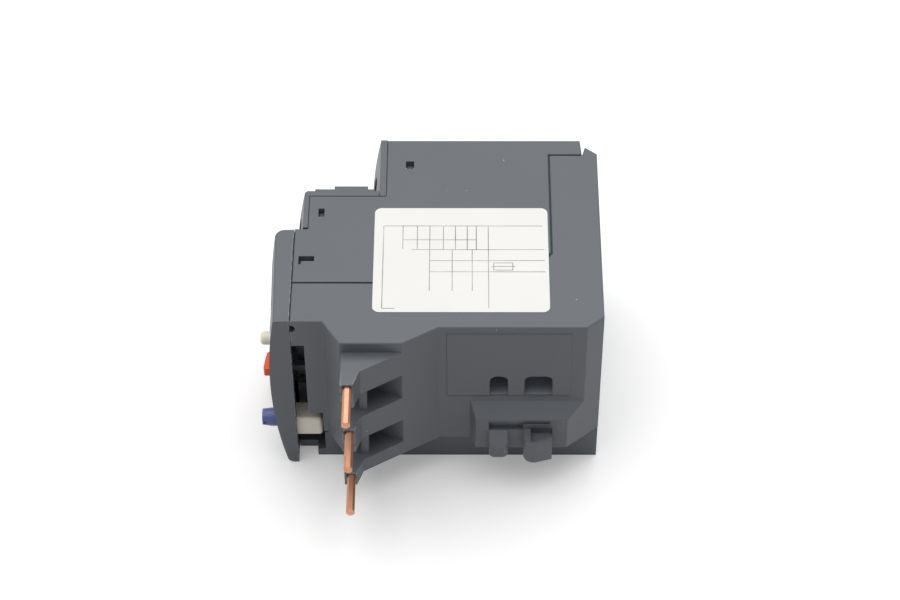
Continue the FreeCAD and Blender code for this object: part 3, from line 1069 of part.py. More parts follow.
def reset_button():
    """Blue cap that turns on the plunger between its two modes."""
    skirt_x = PLUNGER_X0 - RUN_GAP
    profile = [(RESET_CAP_X, RESET_CAP_NOSE_R), (RESET_CAP_X + RESET_CAP_TIP, RESET_CAP_R),
               (skirt_x, RESET_CAP_R), (skirt_x, RESET_PEG_R), (PLUNGER_X0 + RESET_PEG_LONG, RESET_PEG_R)]
    cap = turned(profile, RESET_Y, RESET_Z)
    slot = box(RESET_CAP_X - 1, RESET_CAP_X + SCREW_SLOT, RESET_Y - RESET_CAP_R, RESET_Y + RESET_CAP_R,
               RESET_Z - SCREW_SLOT / 2, RESET_Z + SCREW_SLOT / 2)
    return cap.cut(slot)


def reset_plunger():
    """Cream block behind the reset cap, with a guided stem."""
    half, low_y = PLUNGER_WIDE / 2, PLUNGER_Y0 + PLUNGER_TALL
    side = [(PLUNGER_X0, PLUNGER_Y0), (PLUNGER_X1, PLUNGER_Y0, PLUNGER_ROUND),
            (PLUNGER_X1, low_y), (PLUNGER_X0, low_y)]
    block = prism_z(side, RESET_Z - half, RESET_Z + half)
    block = bevel_edges(block, PLUNGER_ROUND / 2, lambda e: on_level(RESET_Z + half)(e)
                        and abs(e.CenterOfMass.x - PLUNGER_X1) < 0.01)
    stem = bar_x(PLUNGER_X1 - WELD, BUTTON_TIP_X, RESET_STEM_Y, RESET_Z, STEM_HALF)
    bore = rod_x(PLUNGER_X0 - 1, PLUNGER_X0 + RESET_PEG_LONG + RUN_GAP, RESET_Y, RESET_Z,
                 RESET_PEG_R + SHAFT_FIT)
    return fuse([block, stem]).cut(bore)


def side_label():
    """Thin blank rating label on the left side panel."""
    return prism_z([(LABEL_X0, LABEL_Y0, LABEL_ROUND), (LABEL_X1, LABEL_Y0, LABEL_ROUND),
                    (LABEL_X1, LABEL_Y1, LABEL_ROUND), (LABEL_X0, LABEL_Y1, LABEL_ROUND)],
                   WIDTH, WIDTH + LABEL_THICK)


def build():
    """Every piece by its node name."""
    nodes = {maker.__name__: maker() for maker in (
        contactor_housing, terminal_housing, aux_cover, load_cover, front_plate, dial_cover, setting_dial,
        setting_lever, trip_lever, compensator_strip, trip_flag, trip_slide, differential_slide,
        contact_carrier, stop_button, test_button, reset_button, reset_plunger, side_label)}
    arm_x = AUX_PLATE_X - TIP_TALL - CONTACT_GAP - CARRIER_TRAVEL
    nodes["closed_bridge"] = bridge(CARRIER_X, STRIP_Z[0], STRIP_Z[1])
    nodes["open_bridge"] = bridge(arm_x, STRIP_Z[2], STRIP_Z[3])
    nodes["reset_spring"] = spring(PLUNGER_X1, GUIDE_X, RESET_STEM_Y, RESET_Z)
    nodes["stop_spring"] = spring(SHOULDER_X + SHOULDER_THICK, GUIDE_X, STOP_Y, STOP_Z)
    nodes["test_spring"] = spring(SHOULDER_X + SHOULDER_THICK, GUIDE_X, TEST_Y, TEST_Z)
    for i in range(3):
        name = "_%d" % (i + 1)
        nodes["line_pin" + name] = line_pin(PIN_Z[i], POLE_Z[i])
        nodes["heater" + name] = heater(POLE_Z[i])
        nodes["bimetal" + name] = bimetal(POLE_Z[i])
        nodes["load_bar" + name] = load_bar(POLE_Z[i])
        nodes["load_clamp" + name] = clamp(LOAD_HEAD_X + LOAD_HEAD_TALL, LOAD_Y, POLE_Z[i], LOAD_CLAMP,
                                           LOAD_CLAMP_THICK, LOAD_SHANK_R)
    for i in range(4):
        name = "_%d" % (i + 1)
        nodes["aux_strip" + name] = aux_strip(i)
        nodes["aux_clamp" + name] = clamp(AUX_HEAD_X + AUX_HEAD_TALL, AUX_Y, AUX_Z[i], AUX_CLAMP,
                                          AUX_CLAMP_THICK, AUX_SHANK_R)
    nodes["load_screws"] = Part.makeCompound([
        screw(LOAD_HEAD_X, LOAD_Y, z, LOAD_HEAD_R, LOAD_HEAD_TALL, LOAD_SHANK_R, LOAD_SHANK_LONG)
        for z in POLE_Z])
    nodes["aux_screws"] = Part.makeCompound([
        screw(AUX_HEAD_X, AUX_Y, z, AUX_HEAD_R, AUX_HEAD_TALL, AUX_SHANK_R, AUX_SHANK_LONG)
        for z in AUX_Z])
    return nodes


def main():
    """Writes one file for each piece."""
    os.makedirs("parts", exist_ok=True)
    for name, shape in build().items():
        placed = shape.copy()
        placed.translate(OFFSET)
        placed.exportStep("parts/%s.step" % name)


main()
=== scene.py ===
"""Looks for the thermal overload relay: finishes, dial marks, springs, table, light and camera."""

import json
import math

import bpy
import numpy as np
from mathutils import Matrix, Vector

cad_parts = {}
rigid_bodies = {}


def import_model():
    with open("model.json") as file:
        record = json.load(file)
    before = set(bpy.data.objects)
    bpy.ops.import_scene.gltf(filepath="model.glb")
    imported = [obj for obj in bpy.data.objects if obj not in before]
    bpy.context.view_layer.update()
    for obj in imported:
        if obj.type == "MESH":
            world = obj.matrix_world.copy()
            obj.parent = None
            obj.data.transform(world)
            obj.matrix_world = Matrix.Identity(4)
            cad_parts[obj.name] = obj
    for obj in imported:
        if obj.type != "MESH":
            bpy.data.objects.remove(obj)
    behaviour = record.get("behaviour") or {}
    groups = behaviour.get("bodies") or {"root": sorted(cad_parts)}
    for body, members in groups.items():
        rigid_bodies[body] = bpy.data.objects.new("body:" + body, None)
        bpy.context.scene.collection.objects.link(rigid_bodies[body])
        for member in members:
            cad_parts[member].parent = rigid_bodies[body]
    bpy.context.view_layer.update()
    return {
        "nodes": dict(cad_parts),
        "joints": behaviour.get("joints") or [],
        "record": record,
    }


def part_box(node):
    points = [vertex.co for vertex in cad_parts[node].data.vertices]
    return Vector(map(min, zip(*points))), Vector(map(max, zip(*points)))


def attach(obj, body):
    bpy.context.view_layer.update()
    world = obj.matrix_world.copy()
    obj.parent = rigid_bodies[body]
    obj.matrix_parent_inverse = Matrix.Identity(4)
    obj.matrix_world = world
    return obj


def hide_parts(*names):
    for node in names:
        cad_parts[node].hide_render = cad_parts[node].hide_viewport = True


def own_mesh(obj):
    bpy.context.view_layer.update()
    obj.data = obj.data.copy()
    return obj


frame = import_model()

MM = 0.001
# The part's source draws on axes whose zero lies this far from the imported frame's, in mm
DRAWN_ZERO = np.array([27.45, 13.775, 0.0])

# Camera, fitted to the photo: place on the drawing axes in mm, angles in degrees
CAMERA_PLACE = (34.65, -337.33, 431.17)
CAMERA_AZIMUTH = 0.42
CAMERA_ELEVATION = 48.38
CAMERA_ROLL = -0.27
CAMERA_LENS = 103.355
CAMERA_SENSOR = 36.0
CAMERA_CLIP = (0.01, 20.0)      # nearest and furthest that it sees, in metres

# Light, in metres and watts
AMBIENT = 0.36
LAMP_POWER = 20.5
LAMP_SIZE = (2.0, 1.6)
LAMP_PLACE = (-0.05, 0.20, 1.3)

# Table
TABLE_HALF = 2.5                # half of its side in metres
TABLE_BELOW = 0.02              # how far it lies under the relay in mm
TABLE_SPECKS = 40.0             # scale of its faint specks
TABLE_SPECK_TONE = 0.995        # their tone as a share of the rest
TABLE_ROUGHNESS = 0.9
FLOOR_SEEN = 0.90               # tone that the camera sees
FLOOR_BOUNCE = 0.55             # tone that lights the relay from below
FLOOR_LIFT = 0.22               # glow of the seen floor, which keeps its shadow pale

# Mouldings: scales are per metre
BROKEN_EDGE = 0.32              # radius of a broken edge in mm
EDGE_SAMPLES = 6
GRAIN_DEPTH = 0.02              # in mm
DRIFT_SCALE = 70.0              # slow drift of tone and gloss
DRIFT_TONES = (0.94, 1.06)      # darkest and palest shares of the colour
EDGE_HIGHLIGHT_OWN = 0.7                  # painted highlight on the edges, as where they catch light: share of the colour itself,
EDGE_HIGHLIGHT_BRIGHTEST = 0.3            # of its brightest channel,
EDGE_HIGHLIGHT_WHITE = 0.06               # and white
GLOSS_BY_DRIFT = 0.10
GLOSS_BY_GRAIN = 0.08
PLASTIC_SPECULAR = 0.42

# Specks of dust on the housing: cells of the pattern per metre, size of a speck in cells, and the
# share of the cells that have none
DUST_CELLS = 500.0
DUST_SIZE = 0.06
DUST_FREE = 0.91
DUST_COLOUR = (0.62, 0.61, 0.58)

# Painted highlights: pale patches along edges, as where they catch light, on the drawing axes in
# mm: they start and are fullest towards the tips of the pin shrouds, and they lie within a short
# way of the seam behind the front plate
GLINT_FROM_Y = -10.5
GLINT_FULL_Y = -13.5
GLINT_SEAM_X = 0.0
GLINT_SEAM_HALF = 0.5
GLINT_WIDTH = 0.6
GLINT_SCALE = 800.0
GLINT_BARE = 0.5                # noise under this leaves the edge without the painted highlight
GLINT_GAIN = 2.5
GLINT_COLOUR = (0.42, 0.43, 0.42)

# Room of the two pockets over the hook, whose shade is lifted by painted light of a pale bluish
# grey, on the drawing axes in mm:
# opposite corners
POCKETS_LOW = (39.9, -1.3, 23.9)
POCKETS_HIGH = (53.3, 6.0, 30.3)
POCKET_LIGHT_SHARE = 0.3
POCKET_LIGHT_COLOUR = (0.56, 0.62, 0.70)

# Metals
METAL_EDGE = 0.12               # radius of a broken edge in mm
STAIN_SCALE = 450.0
DULL_BY_STAIN = 0.6
DULL_BY_LINES = 0.4
EDGE_SHADE_TONE = 0.25             # share of the dull colour in the painted shade along edges
GLOSS_BY_LINES = 0.16
GLOSS_BY_STAIN = 0.12
LINE_BUMP = 0.12
LINE_DEPTH = 0.01               # in mm

# Clear pane over the dial
PANE_COLOUR = (0.84, 0.86, 0.87)
PANE_IOR = 1.49
PANE_ROUGHNESS = 0.04
PANE_FLOW_SCALE = 220.0
PANE_FLOW = 0.05                # roughness that the moulding flow adds

# Rating label, on the drawing axes in mm
LABEL_X = (16.6, 52.1)
LABEL_Y = (2.45, 31.0)
LABEL_DARK = (0.765, 0.755, 0.725)
LABEL_PALE = (0.815, 0.805, 0.775)
LABEL_SCALE = 60.0
LABEL_ROUGHNESS = 0.38
FIBRE_SCALE = 2600.0
FIBRE_GLOSS = 0.12
FIBRE_BUMP = 0.05
FIBRE_DEPTH = 0.01
INK_COLOUR = (0.10, 0.10, 0.11)
INK_LEAST = 0.15                # strength of the most worn ink
INK_WEAR = 1.3
INK_WEAR_SCALE = 160.0
RULE_WIDTH = 0.16
# Ruled table as shares of the label: columns are (along, low, high), rows are (up, left, right)
LABEL_COLUMNS = (
    (0.0535, 0.034, 0.824), (0.165, 0.60, 0.824), (0.248, 0.60, 0.824), (0.32, 0.20, 0.824),
    (0.398, 0.592, 0.824), (0.467, 0.592, 0.824), (0.449, 0.20, 0.592), (0.535, 0.592, 0.824),
    (0.587, 0.592, 0.824), (0.563, 0.20, 0.592), (0.656, 0.038, 0.824),
    (0.686, 0.396, 0.464), (0.795, 0.396, 0.464),
)
LABEL_ROWS = (
    (0.824, 0.0535, 0.969), (0.034, 0.0535, 0.126), (0.6875, 0.165, 0.587), (0.592, 0.216, 0.977),
    (0.486, 0.32, 0.977), (0.379, 0.32, 0.98),
    (0.396, 0.686, 0.795), (0.464, 0.686, 0.795), (0.430, 0.672, 0.809),
)

# Marks on the setting dial, on the drawing axes in mm and degrees
DIAL_CENTRE = (-3.2, 14.1, 32.5)
DIAL_TICKS = 11
DIAL_TICK_INNER = 3.3
DIAL_TICK_OUTER = 4.3
DIAL_TICK_WIDTH = 0.16
DIAL_TICK_PROUD = 0.05          # how far a mark stands out of the dial's face
DIAL_TICK_SUNK = 0.02           # how far it goes into it
DIAL_SWEEP = 270.0

# Return springs of the buttons
COIL_WIRE = 0.4                 # thickness of the wire in mm
COIL_TURNS = 4
COIL_CLOSING = 0.45             # how much closer than the mean the end turns lie
COIL_STEPS = 28                 # points in one turn
COIL_SIDES = 10                 # points round the wire


def drawn(points):
    """Points on the source's drawing axes in mm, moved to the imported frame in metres."""
    return (np.asarray(points, dtype=float) - DRAWN_ZERO) * MM


class Wire:
    """One output socket of a node; arithmetic on it adds Math nodes."""

    def __init__(self, socket):
        self.socket = socket
        self.tree = socket.id_data

    def beside(self, name):
        """Another output of the same node."""
        return Wire(self.socket.node.outputs[name])

    def math(self, operation, *values):
        """A Math node on values or wires."""
        return add(self.tree, "ShaderNodeMath", {"operation": operation}, dict(enumerate(values)))

    def __add__(self, other):
        return self.math("ADD", self, other)

    def __sub__(self, other):
        return self.math("SUBTRACT", self, other)

    def __rsub__(self, other):
        return self.math("SUBTRACT", other, self)

    def __mul__(self, other):
        return self.math("MULTIPLY", self, other)

    def __abs__(self):
        return self.math("ABSOLUTE", self)

    def __lt__(self, other):
        return self.math("LESS_THAN", self, other)

    def __gt__(self, other):
        return self.math("GREATER_THAN", self, other)

    def __or__(self, other):
        return self.math("MAXIMUM", self, other)

    __radd__ = __add__
    __rmul__ = __mul__


def add(tree, kind, settings=None, inputs=None, out=0):
    """Adds one node: its settings first, then the values or links of its sockets."""
    node = tree.nodes.new(kind)
    for key, value in (settings or {}).items():
        setattr(node, key, value)
    for key, value in (inputs or {}).items():
        if isinstance(value, Wire):
            tree.links.new(value.socket, node.inputs[key])
        else:
            node.inputs[key].default_value = value
    return Wire(node.outputs[out]) if node.outputs else None


def blank_material(name):
    """A new material with an empty tree."""
    material = bpy.data.materials.new(name)
    material.use_nodes = True
    material.node_tree.nodes.clear()
    return material, material.node_tree


def finish_material(material, **sockets):
    """Principled shader with the given sockets, joined to the output."""
    names = {key.replace("_", " ").title().replace("Ior", "IOR"): value
             for key, value in sockets.items()}
    shader = add(material.node_tree, "ShaderNodeBsdfPrincipled", None, names, "BSDF")
    add(material.node_tree, "ShaderNodeOutputMaterial", None, {"Surface": shader})
    return material


def rgb(colour):
    """Colour with full alpha."""
    return (*colour, 1.0)


def scaled(colour, share):
    """Colour with every channel multiplied by a share."""
    return rgb([c * share for c in colour])


def grey(tone):
    """Neutral colour of a tone."""
    return rgb([tone] * 3)


def place_on_piece(tree):
    """The piece's own coordinates in metres."""
    return add(tree, "ShaderNodeTexCoord", None, None, "Object")


def split_axes(tree, place):
    """The X, Y and Z of a place."""
    x = add(tree, "ShaderNodeSeparateXYZ", None, {"Vector": place}, "X")
    return x, x.beside("Y"), x.beside("Z")


def noise(tree, place, scale, detail=2.0, stretch=None):
    """Noise field; stretch scales the coordinates first, for drawn or brushed lines."""
    if stretch:
        place = add(tree, "ShaderNodeMapping", None, {"Vector": place, "Scale": stretch})
    inputs = {"Vector": place, "Scale": scale, "Detail": detail}
    return add(tree, "ShaderNodeTexNoise", None, inputs, "Fac")


def blend_colours(tree, factor, low, high):
    """Mix of two colours by a field."""
    return add(tree, "ShaderNodeMix", {"data_type": "RGBA"}, {0: factor, 6: low, 7: high}, 2)


def between(field, middle, half):
    """1 where a field lies within half of a middle value."""
    return abs(field - middle) < half


def broken_edge(tree, radius_mm):
    """Normal of a surface whose edges are broken by a small radius."""
    settings = {"samples": EDGE_SAMPLES}
    return add(tree, "ShaderNodeBevel", settings, {"Radius": radius_mm * MM}, "Normal")


def edge_share(tree, edge):
    """0 on a plain face, rising to about 0.3 on a square edge: how far the broken normal turns."""
    plain = add(tree, "ShaderNodeNewGeometry", None, None, "Normal")
    turned = {"operation": "DOT_PRODUCT"}
    return 1.0 - add(tree, "ShaderNodeVectorMath", turned, {0: edge, 1: plain}, "Value")


def bumped(tree, height, strength, depth_mm, **normal):
    """Normal with a bump from a height field on it; Normal gives another one to start from."""
    inputs = {"Strength": strength, "Distance": depth_mm * MM, "Height": height, **normal}
    return add(tree, "ShaderNodeBump", None, inputs, "Normal")


def dust_specks(tree, place):
    """1 on a few tiny specks: near one cell point in eleven of a cell pattern."""
    settings = {"feature": "F1", "distance": "EUCLIDEAN"}
    cells = {"Vector": place, "Scale": DUST_CELLS}
    near = add(tree, "ShaderNodeTexVoronoi", settings, cells, "Distance")
    pick = add(tree, "ShaderNodeSeparateColor", None, {"Color": near.beside("Color")}, "Red")
    return (near < DUST_SIZE) * (pick > DUST_FREE)


def painted_edge_glints(tree, place):
    """Painted highlights, pale patches along edges: shrouds' tips and the seam behind the front
    plate.
    """
    seam, first, full = drawn([(GLINT_SEAM_X, 0, 0), (0, GLINT_FROM_Y, 0), (0, GLINT_FULL_Y, 0)])
    x, y, _ = split_axes(tree, place)
    span = {"Value": y, "From Min": first[1], "From Max": full[1]}
    tips = add(tree, "ShaderNodeMapRange", None, span, "Result")
    glinting = tips | between(x, seam[0], GLINT_SEAM_HALF * MM)
    patch = noise(tree, place, GLINT_SCALE, detail=3.0) > GLINT_BARE
    return edge_share(tree, broken_edge(tree, GLINT_WIDTH)) * glinting * patch * GLINT_GAIN


def pocket_room(tree, place):
    """1 inside the pockets over the hook."""
    low, high = drawn([POCKETS_LOW, POCKETS_HIGH])
    middle, half = (low + high) / 2, (high - low) / 2
    along, deep, up = (between(*axis) for axis in zip(split_axes(tree, place), middle, half))
    return along * deep * up


def moulded_plastic(name, colour, roughness, grain_mm=0.2, grain=0.10, dust_and_painted_light=0.0):
    """Satin moulding: eroded grain, a slow drift of tone and gloss, and a painted highlight on
    broken edges.

    With its last argument above 0 it also has painted edge highlights, painted light in the pockets
    and dust specks that strong.
    """
    material, tree = blank_material(name)
    place = place_on_piece(tree)
    drift = noise(tree, place, DRIFT_SCALE, detail=3.0)
    pits = noise(tree, place, 1.0 / (grain_mm * MM))
    edge = broken_edge(tree, BROKEN_EDGE)
    dark, light = (scaled(colour, share) for share in DRIFT_TONES)
    tone = blend_colours(tree, drift, dark, light)
    # Painted highlight: broken edges paler, as where they catch light, broken up by the grain
    pale = rgb([c * EDGE_HIGHLIGHT_OWN + EDGE_HIGHLIGHT_BRIGHTEST * max(colour) + EDGE_HIGHLIGHT_WHITE for c in colour])
    tone = blend_colours(tree, edge_share(tree, edge) * pits, tone, pale)
    if dust_and_painted_light:
        # Painted highlight: pale patches on edges near the shroud tips and the front plate's seam
        tone = blend_colours(tree, painted_edge_glints(tree, place), tone, rgb(GLINT_COLOUR))
        # Painted light: the pockets' shade lifted towards a pale bluish grey
        tone = blend_colours(tree, pocket_room(tree, place) * POCKET_LIGHT_SHARE, tone, rgb(POCKET_LIGHT_COLOUR))
        tone = blend_colours(tree, dust_specks(tree, place) * dust_and_painted_light, tone, rgb(DUST_COLOUR))
    gloss = roughness + (drift - 0.5) * GLOSS_BY_DRIFT + (pits - 0.5) * GLOSS_BY_GRAIN
    return finish_material(material, base_color=tone, roughness=gloss,
                           specular_ior_level=PLASTIC_SPECULAR,
                           normal=bumped(tree, pits, grain, GRAIN_DEPTH, Normal=edge))


def drawn_metal(name, colour, dull, roughness, stretch, edge_shade=0.0):
    """Metal with fine lines along its length, faint darker stains and painted shade along its
    edges.
    """
    material, tree = blank_material(name)
    place = place_on_piece(tree)
    lines = noise(tree, place, 1.0, detail=3.0, stretch=stretch)
    stain = noise(tree, place, STAIN_SCALE, detail=4.0)
    edge = broken_edge(tree, METAL_EDGE)
    worn = stain * DULL_BY_STAIN + lines * DULL_BY_LINES
    tone = blend_colours(tree, worn, rgb(colour), rgb(dull))
    # Painted shade: dark outlines along the broken edges
    if edge_shade:
        rim = edge_share(tree, edge) * edge_shade
        tone = blend_colours(tree, rim, tone, scaled(dull, EDGE_SHADE_TONE))
    gloss = roughness + (lines - 0.5) * GLOSS_BY_LINES + (stain - 0.5) * GLOSS_BY_STAIN
    return finish_material(material, base_color=tone, roughness=gloss, metallic=1.0,
                           normal=bumped(tree, lines, LINE_BUMP, LINE_DEPTH, Normal=edge))


def clear_plastic():
    """Clear pane with a trace of moulding flow."""
    material, tree = blank_material("clear_pane")
    flow = noise(tree, place_on_piece(tree), PANE_FLOW_SCALE)
    return finish_material(material, base_color=rgb(PANE_COLOUR), transmission_weight=1.0,
                           ior=PANE_IOR, roughness=PANE_ROUGHNESS + flow * PANE_FLOW)


def label_film():
    """Warm white label film with a plain ruled table in worn grey ink."""
    material, tree = blank_material("label_film")
    place = place_on_piece(tree)
    along, up, _ = split_axes(tree, place)
    (x0, x1), (y0, y1) = LABEL_X, LABEL_Y
    wide, tall = x1 - x0, y1 - y0
    half = RULE_WIDTH / 2
    rules = None
    bars = [(c, c, low, high, half, 0.0) for c, low, high in LABEL_COLUMNS]
    bars += [(left, right, r, r, 0.0, half) for r, left, right in LABEL_ROWS]
    for left, right, low, high, grow_x, grow_y in bars:
        middle = drawn([x0 + wide * (left + right) / 2, y0 + tall * (low + high) / 2, 0])
        half_x = (wide * (right - left) / 2 + grow_x) * MM
        half_y = (tall * (high - low) / 2 + grow_y) * MM
        bar = between(along, middle[0], half_x) * between(up, middle[1], half_y)
        rules = bar if rules is None else rules | bar
    wear = noise(tree, place, INK_WEAR_SCALE, detail=3.0)
    ink = rules * (INK_LEAST + wear * INK_WEAR)
    film = blend_colours(tree, noise(tree, place, LABEL_SCALE), rgb(LABEL_DARK), rgb(LABEL_PALE))
    fibre = noise(tree, place, FIBRE_SCALE)
    return finish_material(material, base_color=blend_colours(tree, ink, film, rgb(INK_COLOUR)),
                           roughness=LABEL_ROUGHNESS + fibre * FIBRE_GLOSS,
                           normal=bumped(tree, fibre, FIBRE_BUMP, FIBRE_DEPTH))


# Finish of each material slot; a metal's last numbers stretch its lines along X, Y and Z
FINISHES = {
    "housing": moulded_plastic("housing_plastic", (0.107, 0.118, 0.133), 0.44, dust_and_painted_light=0.8),
    "cream": moulded_plastic("cream_plastic", (0.94, 0.875, 0.765), 0.40, 0.3, 0.05),
    "dial": moulded_plastic("dial_plastic", (0.78, 0.78, 0.76), 0.38, 0.3, 0.05),
    "blue": moulded_plastic("blue_plastic", (0.095, 0.115, 0.335), 0.30, 0.4, 0.04),
    "red": moulded_plastic("red_plastic", (0.95, 0.088, 0.018), 0.30, 0.4, 0.04),
    "orange": moulded_plastic("orange_plastic", (0.80, 0.20, 0.02), 0.34, 0.4, 0.04),
    "copper": drawn_metal("pin_copper", (0.72, 0.405, 0.285), (0.42, 0.165, 0.085), 0.42,
                          (900.0, 4200.0, 900.0), edge_shade=6.0),
    "bar_copper": drawn_metal("bar_copper", (0.84, 0.58, 0.38), (0.72, 0.46, 0.28), 0.36,
                              (900.0, 900.0, 5000.0)),
    "steel": drawn_metal("zinc_steel", (0.70, 0.70, 0.69), (0.56, 0.56, 0.55), 0.32,
                         (2500.0, 2500.0, 2500.0)),
    "heater_wire": drawn_metal("heater_wire", (0.45, 0.43, 0.40), (0.30, 0.28, 0.26), 0.45,
                               (3000.0, 400.0, 3000.0)),
    "bimetal": drawn_metal("bimetal_strip", (0.62, 0.58, 0.52), (0.50, 0.45, 0.40), 0.36,
                           (4000.0, 150.0, 4000.0)),
    "clear": clear_plastic(),
    "label": label_film(),
}


def dress_nodes():
    """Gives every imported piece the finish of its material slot."""
    for row in frame["record"]["subparts"]:
        for slot in frame["nodes"][row["node"]].material_slots:
            slot.material = FINISHES[row["material_slot"]]


def mesh_piece(name, points, faces, material, smooth=False):
    """A new object at the origin from an array of points in metres and a list of faces."""
    mesh = bpy.data.meshes.new(name)
    mesh.from_pydata(points.tolist(), [], faces)
    mesh.polygons.foreach_set("use_smooth", [smooth] * len(mesh.polygons))
    mesh.update()
    mesh.materials.append(material)
    piece = bpy.data.objects.new(name, mesh)
    bpy.context.scene.collection.objects.link(piece)
    return piece


def dial_marks():
    """Ticks on the dial: one thin block per angle, turned about the dial's axis as a whole array.

    A block's corners have a depth along X, a radius and a side step. At an angle a, Y is the
    radius times sin a plus the side step times cos a, and Z is the radius times cos a less the
    side step times sin a.
    """
    angles = np.radians(np.linspace(-DIAL_SWEEP / 2, DIAL_SWEEP / 2, DIAL_TICKS))
    ends = np.meshgrid((0.0, 1.0), (0.0, 1.0), (-1.0, 1.0), indexing="ij")
    inward, outer, sign = (end.ravel() for end in ends)
    deep = -DIAL_TICK_PROUD + inward * (DIAL_TICK_PROUD + DIAL_TICK_SUNK)
    radius = DIAL_TICK_INNER + outer * (DIAL_TICK_OUTER - DIAL_TICK_INNER)
    side = sign * DIAL_TICK_WIDTH / 2
    cos, sin = np.cos(angles)[:, None], np.sin(angles)[:, None]
    y, z = radius * sin + side * cos, radius * cos - side * sin
    local = np.stack([np.broadcast_to(deep, y.shape), y, z], -1)
    block = np.array([[0, 2, 3, 1], [4, 5, 7, 6], [0, 1, 5, 4],
                      [2, 6, 7, 3], [0, 4, 6, 2], [1, 3, 7, 5]])
    faces = (block + deep.size * np.arange(DIAL_TICKS)[:, None, None]).reshape(-1, 4)
    ink = moulded_plastic("mark_ink", (0.02, 0.02, 0.022), 0.5)
    points = drawn(local.reshape(-1, 3) + np.array(DIAL_CENTRE))
    piece = mesh_piece("dial_marks", points, faces.tolist(), ink)
    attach(piece, "setting_dial")


def coil_spring(node, joint):
    """Round wire wound between the seats of a plain spring, which shortens as its button goes in.

    With s from 0 to 1 along the wire, the helix has turned by s of all its turns, and its advance
    is s less a share of sin(2 pi s) / 2 pi, so that the end turns lie closer. A circle of the
    wire's thickness, in the plane through the spring's axis, follows the helix, and a flat face
    closes each end.
    """
    low, high = (np.array(corner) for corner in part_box(node))
    middle = (low + high) / 2
    half = COIL_WIRE * MM / 2
    winding = (high[1] - low[1]) / 2 - half
    rings = COIL_TURNS * COIL_STEPS
    s = np.linspace(0.0, 1.0, rings + 1)[:, None]
    v = np.linspace(0.0, 2.0 * np.pi, COIL_SIDES, endpoint=False)[None]
    turn = 2.0 * np.pi * COIL_TURNS * s
    advance = s - COIL_CLOSING * np.sin(2.0 * np.pi * s) / (2.0 * np.pi)
    along = low[0] + half + advance * (high[0] - low[0] - 2.0 * half) + half * np.sin(v)
    away = winding + half * np.cos(v)
    points = np.stack([along, middle[1] + away * np.cos(turn), middle[2] + away * np.sin(turn)], -1)
    ring = np.arange(COIL_SIDES)
    after = (ring + 1) % COIL_SIDES
    start = COIL_SIDES * np.arange(rings)[:, None]
    onward = start + COIL_SIDES
    sides = np.stack([start + ring, onward + ring, onward + after, start + after], -1)
    ends = [ring.tolist(), (COIL_SIDES * rings + ring[::-1]).tolist()]
    piece = mesh_piece(node + "_coil", points.reshape(-1, 3), sides.reshape(-1, 4).tolist() + ends,
                       FINISHES["steel"], True)
    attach(piece, joint["parent"])
    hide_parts(node)
    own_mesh(piece)


def wind_springs():
    """One coil for each node that a joint of the record shortens."""
    for joint in frame["joints"]:
        for soft in joint.get("deforming_nodes", ()):
            coil_spring(soft["node"], joint)


def seen_rays(tree):
    """1 for rays that show the surroundings, straight on or in metal and clear plastic."""
    path = add(tree, "ShaderNodeLightPath", None, None, "Is Camera Ray")
    return path | path.beside("Is Glossy Ray") | path.beside("Is Transmission Ray")


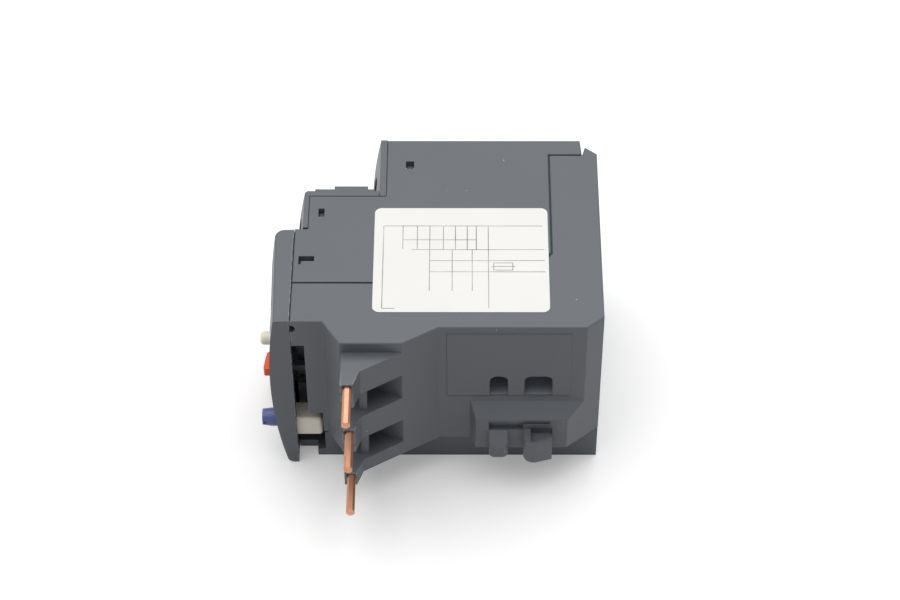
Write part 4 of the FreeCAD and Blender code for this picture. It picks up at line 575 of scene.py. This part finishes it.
def lay_table():
    """White table top, wide enough to fill the view."""
    material, tree = blank_material("table_top")
    speck = noise(tree, place_on_piece(tree), TABLE_SPECKS)
    shown = seen_rays(tree)
    seen = blend_colours(tree, speck, grey(FLOOR_SEEN * TABLE_SPECK_TONE), grey(FLOOR_SEEN))
    tone = blend_colours(tree, shown, grey(FLOOR_BOUNCE), seen)
    glow = blend_colours(tree, shown, grey(0.0), grey(1.0))
    finish_material(material, base_color=tone, roughness=TABLE_ROUGHNESS, specular_ior_level=0.0,
                    emission_color=glow, emission_strength=FLOOR_LIFT)
    corners = TABLE_HALF * np.array([[-1, -1, 0], [1, -1, 0], [1, 1, 0], [-1, 1, 0]])
    corners -= [0, 0, TABLE_BELOW * MM]
    mesh_piece("table_top", corners, [[0, 1, 2, 3]], material)


def light_scene():
    """Pale surroundings and one broad soft lamp overhead, a little behind the relay."""
    world = bpy.data.worlds.new("surroundings")
    bpy.context.scene.world = world
    world.use_nodes = True
    tree = world.node_tree
    tree.nodes.clear()
    strength = AMBIENT + seen_rays(tree) * (1.0 - AMBIENT)
    sky = add(tree, "ShaderNodeBackground", None, {"Color": grey(1.0), "Strength": strength})
    add(tree, "ShaderNodeOutputWorld", None, {"Surface": sky})
    lamp = bpy.data.lights.new("overhead", "AREA")
    lamp.shape = "RECTANGLE"
    lamp.size, lamp.size_y = LAMP_SIZE
    lamp.energy = LAMP_POWER
    holder = bpy.data.objects.new("overhead", lamp)
    place = Vector(LAMP_PLACE)
    aim = place.to_track_quat("Z", "Y").to_matrix().to_4x4()
    holder.matrix_world = Matrix.Translation(place) @ aim
    bpy.context.scene.collection.objects.link(holder)


def set_camera():
    """Camera where the photograph was taken from."""
    angles = (CAMERA_AZIMUTH, CAMERA_ELEVATION, CAMERA_ROLL)
    azimuth, elevation, roll = (math.radians(angle) for angle in angles)
    level = math.cos(elevation)
    ahead = Vector((-math.sin(azimuth) * level, math.cos(azimuth) * level, -math.sin(elevation)))
    right = Vector((math.cos(azimuth), math.sin(azimuth), 0.0))
    over = right.cross(ahead)
    across = right * math.cos(roll) + over * math.sin(roll)
    upward = over * math.cos(roll) - right * math.sin(roll)
    data = bpy.data.cameras.new("photo_camera")
    data.sensor_width = CAMERA_SENSOR
    data.sensor_fit = "HORIZONTAL"
    data.lens = CAMERA_LENS
    data.clip_start, data.clip_end = CAMERA_CLIP
    camera = bpy.data.objects.new("photo_camera", data)
    turn = Matrix((across, upward, -ahead)).transposed().to_4x4()
    camera.matrix_world = Matrix.Translation(Vector(drawn(CAMERA_PLACE))) @ turn
    bpy.context.scene.collection.objects.link(camera)
    bpy.context.scene.camera = camera


dress_nodes()
dial_marks()
wind_springs()
lay_table()
light_scene()
set_camera()
bpy.context.scene.view_settings.view_transform = "Standard"
